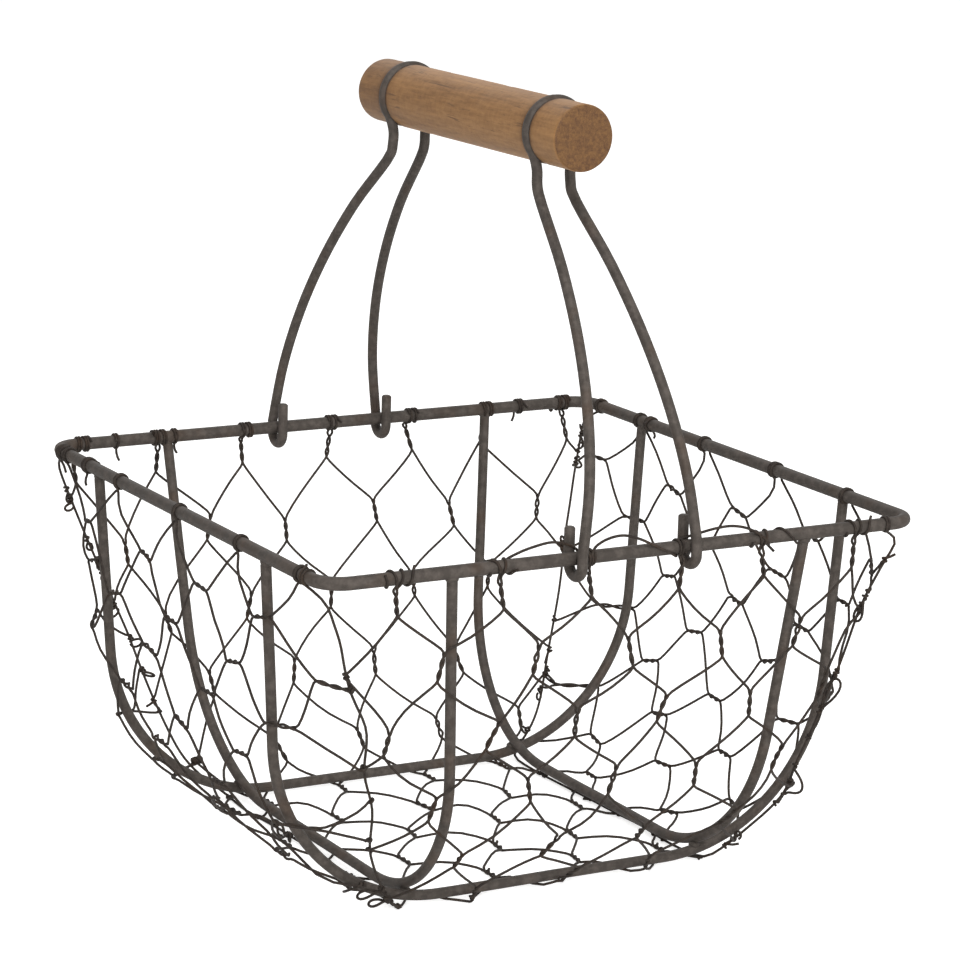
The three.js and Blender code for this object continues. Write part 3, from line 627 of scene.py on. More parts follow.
@dataclass(frozen=True)
class RibShape:
    """One pair of ribs: their spread at the rim and the bottom, and their bend."""

    top: float
    bottom: float
    fillet: float
    lean: float
    half: float
    floor: float
    rim_height: float = 125.15
    bend_steps: int = 28

    @property
    def centre(self) -> float:
        """Distance from the middle to the centre of the fillet.

        Returns:
            The distance at which the leaning wall runs smoothly into the fillet.
        """
        lean = math.radians(self.lean)
        wall = (self.rim_height - self.floor - self.fillet * (1 - math.sin(lean))) / math.cos(lean)
        return self.half - wall * math.sin(lean) - self.fillet * math.cos(lean)

    @property
    def end_angle(self) -> float:
        """Angle that the fillet turns through."""
        return math.pi / 2 - math.radians(self.lean)

    def reach(self, height: float, outwards: float = 0.0) -> float:
        """Distance from the middle to a line that lies outside the rib's straight wall.

        Args:
            height: Height above the table, over the fillet.
            outwards: How far outside the rib.

        Returns:
            The distance.
        """
        lean = math.radians(self.lean)
        return self.half + outwards / math.cos(lean) - (self.rim_height - height) * math.tan(lean)

    def spread(self, height: float, low: float) -> float:
        """Distance of the pair from the middle at a height, where low is the lowest height."""
        return lerp(self.bottom, self.top, (height - low) / (self.rim_height - low))

    def path(self, top: float) -> list[Flat]:
        """Centreline from one side of the rim to the other.

        Args:
            top: Height of its ends.

        Returns:
            Pairs of reach and height.
        """
        bend = []
        for i in range(self.bend_steps, -1, -1):
            angle = self.end_angle * i / self.bend_steps
            bend.append((self.centre + self.fillet * math.sin(angle),
                         self.floor + self.fillet * (1 - math.cos(angle))))
        reach, (bend_reach, bend_top) = self.reach(top), bend[0]
        wall = [(lerp(reach, bend_reach, t), lerp(top, bend_top, t)) for t in (0, 0.2, 0.4, 0.6, 0.8)]
        flat = [(self.centre * t, self.floor) for t in (0.66, 0.33)]
        side = wall + bend + flat
        return side + [(0.0, self.floor)] + [(-reach, z) for reach, z in reversed(side)]


@dataclass(frozen=True)
class BasketShape:
    """Sizes that the frame wires and the net share, in millimetres. They are the CAD model's own.

    The net is drawn a little thicker than the CAD has it. Each corner shift is a row of heights with the
    distance along the front wall by which the net's front corner was drawn when it was closed by hand.
    """

    rim_width: float = 220.0
    rim_depth: float = 215.0
    rim_height: float = 125.15
    rim_corner: float = 9.0
    rim_radius: float = 2.2
    rib_radius: float = 1.8
    net_radius: float = 0.425
    drawn_radius: float = 0.47
    gap: float = 0.3
    long_rib: RibShape = RibShape(top=66.0, bottom=63.6, fillet=62.6, lean=3.5, half=110.0, floor=2.95)
    cross_rib: RibShape = RibShape(top=65.8, bottom=56.2, fillet=58.5, lean=6.8, half=107.5, floor=4.15)
    seam_past_rib: float = 2.0
    corner_join_height: float = 30.0
    corner_ease: float = 22.0
    left_corner_shift: tuple[Flat, ...] = (
        (0.0, 0.0), (14.0, 2.0), (28.0, 1.0), (44.0, 5.0), (58.0, 3.0), (74.0, 6.5), (88.0, 3.5),
        (104.0, 3.5), (114.0, 1.0), (122.0, 0.0))
    right_corner_shift: tuple[Flat, ...] = (
        (0.0, 1.0), (25.0, 4.0), (50.0, 2.5), (75.0, -1.5), (98.0, -5.5), (112.0, -5.5), (122.0, -3.0))

    @property
    def net_offset(self) -> float:
        """Distance from a rib's centre to the net outside it."""
        return self.rib_radius + self.gap + math.hypot(2 * self.net_radius, self.net_radius)

    @property
    def seam_x(self) -> float:
        """Where the side panels join the bottom."""
        return self.cross_rib.bottom + self.seam_past_rib

    @property
    def seam_y(self) -> float:
        """Where the bottom turns up into the front and the back."""
        return self.long_rib.bottom + self.seam_past_rib

    @property
    def net_top(self) -> float:
        """Height of the net's upper edge."""
        return self.rim_height - self.rim_radius - self.gap - self.net_radius

    def rim_point(self, side: Vector, at: float) -> Vector:
        """Point of the rim's centreline at a distance from the middle of the side that faces along side."""
        half = self.rim_width / 2 if side.x else self.rim_depth / 2
        return side * half + across(side) * at + Z * self.rim_height


def across(side: Vector) -> Vector:
    """The level axis that lies across another one."""
    return Y.copy() if side.x else X.copy()


@dataclass
class WallOutline:
    """Profile of a net wall from the bottom seam up to the rim, measured by the distance down from the rim.

    axis is the number of the coordinate that runs along the wall.
    """

    shape: BasketShape
    rib: RibShape
    seam: float
    axis: int
    steps: int = 40

    def __post_init__(self) -> None:
        """Works out the profile as tables of reach and height."""
        shape, rib = self.shape, self.rib
        radius = rib.fillet + shape.net_offset
        middle = rib.floor + rib.fillet
        dx, dz = self.seam - rib.centre, middle - shape.net_radius
        reach = math.hypot(dx, dz)
        start = math.atan2(dx, dz) + (math.acos(radius / reach) if reach > radius else 0.0)
        points = [(self.seam, shape.net_radius)]
        for i in range(self.steps + 1):
            angle = lerp(start, rib.end_angle, i / self.steps)
            points.append((rib.centre + radius * math.sin(angle), middle - radius * math.cos(angle)))
        points.append((rib.reach(shape.net_top, shape.net_offset), shape.net_top))
        lengths = [0.0]
        for a, b in zip(points, points[1:]):
            lengths.append(lengths[-1] + math.dist(a, b))
        self.total = lengths[-1]
        self.reaches = [(length, point[0]) for length, point in zip(lengths, points)]
        self.heights = [(length, point[1]) for length, point in zip(lengths, points)]
        self.profile = [(z, x) for x, z in points]

    def at(self, down: float) -> Flat:
        """Reach and height at a distance down from the rim."""
        return sampled(self.reaches, self.total - down), sampled(self.heights, self.total - down)


@dataclass
class NetSurface:
    """The bent sheet that the net lies on, and how far the real net strays from it."""

    shape: BasketShape
    past_corner: float = 1.6
    rib_clearance: float = 1.3
    highest_arch: float = 3.6
    arch_slope: float = 0.8
    arch_at_cross_rib: float = 0.7
    drift_size: float = 31.0
    drift: float = 1.6
    bulge_size: float = 24.0
    bulge: float = 3.2
    bulge_bias: float = 0.12
    bulge_place: tuple[float, float, float] = (7, 3, 1)
    calm_below_rim: float = 25.0

    def __post_init__(self) -> None:
        """Works out both wall profiles."""
        self.side_wall = WallOutline(self.shape, self.shape.long_rib, self.shape.seam_x, 1)
        self.end_wall = WallOutline(self.shape, self.shape.cross_rib, self.shape.seam_y, 0)
        self.strip_length = 2 * (self.end_wall.total + self.shape.seam_y)

    def edges(self, z: float) -> Flat:
        """Where the ribs hold the walls at a height: past the cross ribs along X, the long ribs along Y."""
        low, past = self.shape.long_rib.floor, self.shape.net_offset / 2
        return self.shape.cross_rib.spread(z, low) + past, self.shape.long_rib.spread(z, low) + past

    def corner(self, z: float) -> Flat:
        """The net's corner at a height: halfway from ribs to walls, and drawn to the rim's corner above.

        Args:
            z: The height.

        Returns:
            Its distances from the middle along X and Y.
        """
        shape = self.shape
        low = min(z, shape.corner_join_height)
        held = [(edge + sampled(wall.profile, low)) / 2
                for edge, wall in zip(self.edges(low), (self.side_wall, self.end_wall))]
        inset = shape.rim_corner * (1 - math.sqrt(0.5)) - shape.net_offset * math.sqrt(0.5)
        t = (z - low) / (shape.net_top - shape.corner_join_height)
        return lerp(held[0], shape.rim_width / 2 - inset, t), lerp(held[1], shape.rim_depth / 2 - inset, t)

    def on_wall(self, wall: WallOutline, facing: float, along: float, down: float) -> Vector:
        """Point of a wall.

        Args:
            wall: The profile.
            facing: Which one of the two walls with that profile it is, -1 or 1.
            along: Distance along the wall from its middle.
            down: Distance down from the rim.

        Returns:
            The point.
        """
        reach, z = wall.at(down)
        edge, corner = self.edges(z)[wall.axis], self.corner(z)
        past = clamp((abs(along) - edge) / (corner[wall.axis] - edge), 0.0, self.past_corner)
        out = facing * lerp(reach, corner[1 - wall.axis], past)
        return Vector((out, along, z) if wall.axis else (along, out, z))

    def on_strip(self, along: float, x: float) -> Vector:
        """Point of the strip that runs down the front, under the bottom and up the back.

        Args:
            along: Distance along the strip from the front rim.
            x: Distance from its middle.

        Returns:
            The point.
        """
        wall = self.end_wall.total
        if along < wall:
            return self.on_wall(self.end_wall, -1, x, along)
        if along > self.strip_length - wall:
            return self.on_wall(self.end_wall, 1, x, self.strip_length - along)
        return Vector((x, along - wall - self.shape.seam_y, self.shape.net_radius))

    def half_width(self, wall: WallOutline, down: float) -> float:
        """Half the width of a wall's net at a distance down from the rim."""
        return self.corner(wall.at(down)[1])[wall.axis]

    def strip_edge(self, along: float) -> float:
        """Half the strip's width."""
        down = min(along, self.strip_length - along)
        return self.shape.seam_x if down > self.end_wall.total else self.half_width(self.end_wall, down)

    def headroom(self, p: Vector) -> float:
        """How far a floor strand may arch up at a point.

        Args:
            p: The point.

        Returns:
            The distance, which is nought under a rib and on the walls.
        """
        shape = self.shape
        on_floor = clamp(1 - (p.z - 2 * shape.net_radius) / 2, 0.0, 1.0)
        from_long, from_cross = (
            max(0.0, abs(abs(at) - rib.bottom) - self.rib_clearance * shape.rib_radius)
            for at, rib in ((p.y, shape.long_rib), (p.x, shape.cross_rib)))
        return on_floor * min(self.highest_arch, self.arch_slope * from_long,
                              self.arch_at_cross_rib + self.arch_slope * from_cross)

    def corner_shift(self, p: Vector) -> Vector:
        """How far the net was drawn along the front wall at a point near a front corner.

        Args:
            p: A point of the even sheet.

        Returns:
            The shift, which fades out away from the corner.
        """
        if p.y > 0:
            return Vector()
        shape = self.shape
        near = clamp(1 - math.dist((abs(p.x), -p.y), self.corner(p.z)) / shape.corner_ease, 0.0, 1.0)
        rows = shape.right_corner_shift if p.x > 0 else shape.left_corner_shift
        return X * (sampled(rows, p.z) * near * near * (3 - 2 * near))

    def bent(self, p: Vector, normal: Vector | None = None) -> Vector:
        """Moves a point as the hand-bent net wanders, and keeps it outside the ribs and off the table.

        Args:
            p: A point of the even sheet.
            normal: The sheet's outward direction, which is the way from the middle where it isn't given.

        Returns:
            The moved point.
        """
        out = normal if normal else Vector((p.x, p.y, 0)).normalized()
        fade = clamp((self.shape.net_top - p.z) / self.calm_below_rim, 0.0, 1.0)
        drift = noise.noise_vector(p / self.drift_size) * self.drift
        swell = noise.noise(p / self.bulge_size + Vector(self.bulge_place)) + self.bulge_bias
        bulge = max(0.0, swell) * self.bulge
        moved = p + (drift - out * min(0.0, drift.dot(out)) + out * bulge) * fade + self.corner_shift(p)
        moved.z = max(moved.z, self.shape.net_radius)
        return moved


# Netting


class TailStyle(Enum):
    """How a wound wire ends."""

    SNUG = "pressed against the turns"
    SPIKE = "cut off and sticking out"
    CURL = "bent round into a small loop"


@dataclass
class Twist:
    """Two wires twisted together, in millimetres.

    a and b are the flat place of its middle, and slant is how far it moves across for each step along. phase
    turns its middle, and eye is how far the wires open at eye_at, which is a share of its length.
    """

    a: float
    b: float
    slant: float
    length: float
    radius: float
    phase: float
    eye: float
    eye_at: float

    def ends(self, family: int) -> tuple[Flat, Flat]:
        """Flat positions where a wire of a family enters and leaves."""
        half, aside = self.length / 2, family * self.radius
        return ((self.a - half, self.b - half * self.slant - aside),
                (self.a + half, self.b + half * self.slant + aside))


@dataclass
class Lattice:
    """Where the twists of one net panel lie: rows follow the wires' run, columns lie across it."""

    place: Callable[[float, float], Vector]
    inside: Callable[[float, float], float]
    row_at: Callable[[int], float]
    column_at: Callable[[int], float]
    rows: range
    columns: range
    parity: int
    loose: float
    rng: random.Random
    length: float = 10.8
    length_range: float = 1.2
    slant_range: float = 0.3
    phase_range: float = 0.5
    radius: float = 0.45
    # A twist's fifth draw makes it wider past the first of these, and opens its eye past the second.
    wide_from: float = 0.3
    open_from: float = 0.1
    looser: float = 0.2
    open_eye: float = 0.55
    eye_places: tuple[float, float, float] = (1 / 6, 1 / 2, 5 / 6)
    twists: dict[Key, Twist] = field(default_factory=dict)

    def __post_init__(self) -> None:
        """Gives every twist its own small offset, slant, length, phase and opening."""
        for row in self.rows:
            for column in self.columns:
                if (row + column) % 2 != self.parity:
                    continue
                draw = [self.rng.uniform(-1, 1) for _ in range(6)]
                self.twists[row, column] = Twist(
                    a=self.row_at(row) + draw[0] * self.loose,
                    b=self.column_at(column) + draw[1] * self.loose,
                    slant=draw[2] * self.slant_range,
                    length=self.length + draw[3] * self.length_range,
                    radius=self.radius + max(0.0, draw[4] - self.wide_from) * self.looser,
                    phase=draw[5] * self.phase_range,
                    eye=max(0.0, draw[4] - self.open_from) * self.open_eye,
                    # The factor turns a draw from -1 to 1 into the number of one of the three places.
                    eye_at=self.eye_places[int((draw[5] + 1) * 1.49)])


@dataclass
class NetPanel:
    """One panel of twisted hexagonal net, wire by wire.

    A family is 1 for the wires that move up the columns as the rows go on, and -1 for those that move down.
    Pairs such as sag are a lowest and a highest value, and the tail shares are those of each TailStyle.
    """

    surface: NetSurface
    lattice: Lattice
    probe: float = 0.25
    middle_height: float = 0.8
    half_turns: int = 3
    samples_per_half_turn: int = 6
    turn_pitch: float = 1.25
    turn_steps: int = 10
    eye_length: float = 0.11
    least_inside: float = 2.5
    bow: float = 1.1
    sag: Flat = (-0.1, 0.8)
    rise: Flat = (2.0, 3.6)
    front_turns: tuple[float, ...] = (0.75, 1.25)
    back_turns: tuple[float, ...] = (1.25, 1.25, 1.75, 2.25)
    front_tails: tuple[int, ...] = (6, 2, 1)
    back_tails: tuple[int, ...] = (5, 3, 4)
    lean: Flat = (-0.5, 0.5)
    snug: float = 0.7
    spike: Flat = (1.6, 3.8)
    curl: Flat = (0.9, 1.9)
    curl_stretch: float = 1.3
    curl_degrees: int = 30

    def frame_at(self, a: float, b: float) -> tuple[Vector, Vector, Vector, Vector]:
        """Point of the sheet with its run, across and outward directions.

        Args:
            a: Position along the rows.
            b: Position along the columns.

        Returns:
            The point and the three unit directions.
        """
        place, h = self.lattice.place, self.probe
        run = (place(a + h, b) - place(a - h, b)).normalized()
        beside = (place(a, b + h) - place(a, b - h)).normalized()
        point = place(a, b)
        normal = run.cross(beside).normalized()
        if normal.dot(point - Z * (self.middle_height * self.surface.shape.rim_height)) < 0:
            normal.negate()
        return point, run, beside, normal

    def twisted(self, twist: Twist, family: int) -> Path:
        """One wire's share of a twist, in the order of the rows.

        Args:
            twist: The twist.
            family: The wire's family.

        Returns:
            Its points.
        """
        steps = self.half_turns * self.samples_per_half_turn
        start = math.pi if family > 0 else 0.0
        points = []
        for i in range(steps + 1):
            t = i / steps
            b = twist.b + twist.length * twist.slant * (t - 0.5)
            point, _, beside, normal = self.frame_at(twist.a + twist.length * (t - 0.5), b)
            angle = start + self.half_turns * math.pi * t + math.sin(math.pi * t) * twist.phase
            radius = twist.radius + twist.eye * math.exp(-((t - twist.eye_at) / self.eye_length) ** 2)
            # On the floor the turning wires stay above the table.
            off_table = radius * clamp(1.2 - point.z / 2, 0.0, 1.0)
            points.append(self.surface.bent(point, normal) - normal * off_table
                          + (beside * math.cos(angle) + normal * math.sin(angle)) * radius)
        return points

    def strand(self, start: Flat, end: Flat) -> Path:
        """Points between two flat positions, without the ends, with a slight bow.

        Args:
            start: Flat position that the strand leaves.
            end: Flat position that it reaches.

        Returns:
            Its inner points.
        """
        uniform = self.lattice.rng.uniform
        bow, sag, rise = uniform(-self.bow, self.bow), uniform(*self.sag), uniform(*self.rise)
        points = []
        for t in (0.2, 0.4, 0.6, 0.8):
            point, run, _, normal = self.frame_at(lerp(start[0], end[0], t), lerp(start[1], end[1], t))
            arch = math.sin(math.pi * t)
            moved = self.surface.bent(point, normal) + run * (bow * arch) + normal * (sag * arch)
            moved.z += min(rise * arch, self.surface.headroom(moved))
            points.append(moved)
        return points

    def cut(self, inner: Flat, outer: Flat) -> Flat:
        """Where a strand that leaves the panel meets its edge.

        Args:
            inner: A flat position inside.
            outer: One outside.

        Returns:
            The flat position of the edge between them.
        """
        low, high = 0.0, 1.0
        for _ in range(24):
            t = (low + high) / 2
            if self.lattice.inside(lerp(inner[0], outer[0], t), lerp(inner[1], outer[1], t)) > 0:
                low = t
            else:
                high = t
        return lerp(inner[0], outer[0], low), lerp(inner[1], outer[1], low)

    def seam_frame(self, at: Flat) -> tuple[Vector, Vector]:
        """Finds the seam wire at a cut. It runs the way that stays nearest to the panel's edge.

        Args:
            at: Flat position of the cut.

        Returns:
            Its point and its direction.
        """
        a, b = at
        ways = sorted((abs(self.lattice.inside(*way)), *way) for way in (
            (a + 1, b), (a - 1, b), (a, b + 1), (a, b - 1)))
        point = self.lattice.place(a, b)
        along = self.lattice.place(*ways[0][1:]) - point
        return self.surface.bent(point), along.normalized() if along.length > 1e-6 else Z.copy()

    def end_wind(self, before: Vector, at: Flat) -> Path:
        """Winds a cut strand round the seam wire and leaves a short tail.

        The ends are shorter in front, and pressed flat in the left front corner.

        Args:
            before: The strand's last free point.
            at: Flat position of the cut.

        Returns:
            The points of the winding and the tail.
        """
        rng = self.lattice.rng
        centre, axis = self.seam_frame(at)
        if rng.random() < 0.5:
            axis.negate()
        toward = before - centre
        side = (toward - axis * toward.dot(axis)).normalized()
        in_front = centre.y < 0
        turns = rng.choice(self.front_turns if in_front else self.back_turns)
        points = helix(centre, axis, side, axis.cross(side), 2 * self.surface.shape.net_radius, turns,
                       int(turns * self.turn_steps), self.turn_pitch, math.pi / 2)
        last = points[-1]
        leave = (last - points[-2]).normalized()
        out = (last - centre).normalized()
        lean = axis * rng.uniform(*self.lean)
        if in_front and centre.x < 0:
            style = TailStyle.SNUG
        else:
            style = rng.choices(list(TailStyle), self.front_tails if in_front else self.back_tails)[0]
        if style is TailStyle.SNUG:
            return points + [last + leave * self.snug]
        if style is TailStyle.SPIKE:
            length = rng.uniform(*self.spike)
            # The end bends outwards as it goes.
            return points + [last + (leave * 0.8 + out * 0.4) * length * 0.5,
                             last + (leave * 0.7 + out * 0.8 + lean) * length]
        loop = rng.uniform(*self.curl)
        ahead = (leave + lean).normalized()
        for angle in (math.radians(self.curl_degrees * i) for i in range(1, 11)):
            points.append(last + out * (loop * (1 - math.cos(angle)))
                          + ahead * (self.curl_stretch * loop * math.sin(angle)))
        return points

    def build_run(self, keys: list[Key], family: int) -> tuple[Path, tuple[Flat, Flat]]:
        """Follows one wire through neighbouring twists.

        Args:
            keys: The twists, in the order of the rows.
            family: The wire's family.

        Returns:
            The wire's points, and its flat start and end positions.
        """
        points: Path = []
        ends = [self.lattice.twists[key].ends(family) for key in keys]
        for i, key in enumerate(keys):
            if i:
                points += self.strand(ends[i - 1][1], ends[i][0])
            points += self.twisted(self.lattice.twists[key], family)
        return points, (ends[0][0], ends[-1][1])

    def runs(self, family: int, low_column: int | None = None) -> list[list[Key]]:
        """Splits each wire of a family into its stretches inside the panel.

        Args:
            family: The family.
            low_column: The lowest column that counts, where not all do.

        Returns:
            Lists of twists.
        """
        found = []
        for start in sorted({column - family * row for row, column in self.lattice.twists}):
            current: list[Key] = []
            for row in self.lattice.rows:
                key = (row, start + family * row)
                twist = self.lattice.twists.get(key)
                counts = low_column is None or key[1] >= low_column
                if twist and counts and self.lattice.inside(twist.a, twist.b) > self.least_inside:
                    current.append(key)
                elif current:
                    found.append(current)
                    current = []
            if current:
                found.append(current)
        return found

    def cut_end(self, key: Key, step: int, family: int, leave: Flat) -> Path:
        """Strand from a wire's last twist to the seam, with its winding.

        Args:
            key: The last twist inside.
            step: 1 past the end of the wire, -1 before its start.
            family: The wire's family.
            leave: Flat position where it leaves that twist.

        Returns:
            The points outwards from the twist.
        """
        outer = self.lattice.row_at(key[0] + step), self.lattice.column_at(key[1] + family * step)
        at = self.cut(leave, outer)
        points = self.strand(leave, at)
        return points + self.end_wind(points[-1], at)


@dataclass(frozen=True)
class LooseLoop:
    """Spare wire wound on a seam that swings out in a loop, in millimetres.

    way is its direction as shares down the seam, outwards and aside, span is how far along the seam it comes
    back, and turn is how far, in degrees, its width is turned from the wall to the outward direction.
    """

    height: float
    length: float
    width: float
    at_back: bool = False
    span: float = 0.0
    way: tuple[float, float, float] = (0.75, 0.65, 0.0)
    turn: float = 30.0


OPEN_AT_BACK = {"at_back": True, "way": (0.9, 0.3, 0.0), "turn": 80.0}
LEFT_LOOPS = (
    LooseLoop(108.0, 4.2, 2.6, **OPEN_AT_BACK), LooseLoop(92.0, 3.6, 2.6, **OPEN_AT_BACK),
    LooseLoop(80.0, 3.0, 2.2, **OPEN_AT_BACK), LooseLoop(11.0, 8.0, 3.2, way=(0.1, 0.25, 0.95), turn=100.0),
    LooseLoop(6.5, 6.0, 2.6, way=(-0.1, 0.1, 0.95), turn=100.0))
RIGHT_LOOPS = (
    LooseLoop(99.0, 8.0, 3.0, way=(1.0, 0.1, 0.0), turn=75.0),
    LooseLoop(56.0, 13.0, 4.6, way=(-1.0, 0.15, 0.0), turn=75.0),
    LooseLoop(36.0, 5.6, 1.6, span=9.0, way=(0.3, 0.95, 0.0), turn=75.0),
    LooseLoop(104.0, 3.0, 2.4, at_back=True))
# Each bend of the lacing wire is its place along the front rim, and how far it lies in front of the rim's
# middle and above it. The wire passes under the rim beside both hooks, which leaves them room to rise.
LACING_BENDS = (
    (-58.0, 1.2, -2.2), (-55.5, -1.8, -1.6), (-53.5, -2.0, 1.4), (-51.5, 0.8, 2.3), (-50.0, 2.4, 0.4),
    (-49.0, 1.4, -2.0), (-47.5, -1.6, -1.8), (-46.0, -2.2, 1.0), (-42.0, -1.2, 3.4), (-36.0, -0.6, 5.2),
    (-30.0, -0.4, 6.0), (-25.0, -0.2, 5.0), (-21.6, -0.8, 3.4), (-19.2, -2.3, 1.4), (-18.6, -2.2, -1.0),
    (-18.0, -0.4, -2.4), (-17.4, 2.0, -1.4), (-16.9, 2.3, 0.9), (-15.0, 1.4, 3.4), (-10.0, 0.6, 5.4),
    (-4.0, 0.4, 5.9), (1.5, 1.2, 4.4), (6.5, 2.3, 2.0), (10.5, 2.7, 0.0), (14.0, 2.1, -1.8),
    (16.0, 0.4, -2.8), (17.2, -1.6, -2.2), (18.0, -2.7, -0.2), (18.9, -1.9, 2.0), (20.6, -0.8, 2.9),
    (23.5, -0.3, 3.5), (27.0, -0.2, 4.2), (31.5, 0.0, 4.9), (36.5, 0.4, 5.2), (42.0, 1.0, 4.2),
    (46.5, 2.0, 2.0), (49.0, 2.4, 0.0), (51.0, 1.2, -2.1), (53.0, -1.6, -1.8), (54.5, -2.3, 0.6),
    (56.0, -0.6, 2.5), (57.5, 1.8, 1.6), (59.5, 2.6, -0.6), (61.0, 3.0, -2.4))
# Each tie is the way its side of the rim faces, its place along that side, and how far down it reaches.
TIES = (
    (-X, 97.0, 4.5), (-X, 74.0, 3.5), (Y, -86.0, 4.5), (Y, -63.0, 4.0), (Y, 80.0, 3.0), (X, 60.0, 3.0))


@dataclass
class RimWinding:
    """Net wire wound round the rim."""

    shape: BasketShape
    rng: random.Random
    pitch: float = 0.93
    steps_per_turn: int = 18
    first_angle: float = -72.0
    snug: float = 0.5
    spike: Flat = (1.6, 3.4)
    curl: Flat = (0.9, 1.3)
    curl_degrees: int = 32
    curl_advance: float = 0.05

    def turns(self, side: Vector, at: float, direction: float, count: float, shift: float,
              spacing: float = 1.0) -> Path:
        """Helix round the rim that starts low on the outside and climbs over the top.

        Args:
            side: Which way the rim's side faces.
            at: Distance from the middle of that side.
            direction: Which way the helix moves along the rim.
            count: Number of turns.
            shift: Distance of its start from at.
            spacing: How many pitches the turns lie apart.

        Returns:
            Its points.
        """
        radius = self.shape.rim_radius + self.shape.net_radius
        return helix(self.shape.rim_point(side, at), across(side) * direction, side, Z, radius, count,
                     max(6, int(count * self.steps_per_turn)), self.pitch * spacing,
                     math.radians(self.first_angle), shift)

    def tail(self, points: Path, side: Vector, style: TailStyle, along: Vector) -> Path:
        """Ends a winding.

        Args:
            points: The winding.
            side: Which way the rim's side faces.
            style: How the end looks.
            along: Which way the winding moves along the rim.

        Returns:
            The points after the winding's last one.
        """
        last = points[-1]
        run = (last - points[-2]).normalized()
        out = run.cross(along).normalized()
        if out.dot(last - self.shape.rim_point(side, 0)) < 0:
            out.negate()
        if style is TailStyle.SNUG:
            return [last + run * self.snug + out * 0.05]
        if style is TailStyle.SPIKE:
            length = self.rng.uniform(*self.spike)
            return [last + run * length * 0.5 + out * 0.1, last + run * length + out * 0.5 + along * 0.4]
        loop = self.rng.uniform(*self.curl)
        made = []
        for i in range(1, 11):
            angle = math.radians(self.curl_degrees * i)
            made.append(last + out * (loop * (1 - math.cos(angle))) + run * (loop * math.sin(angle))
                        + along * (self.curl_advance * i))
        return made


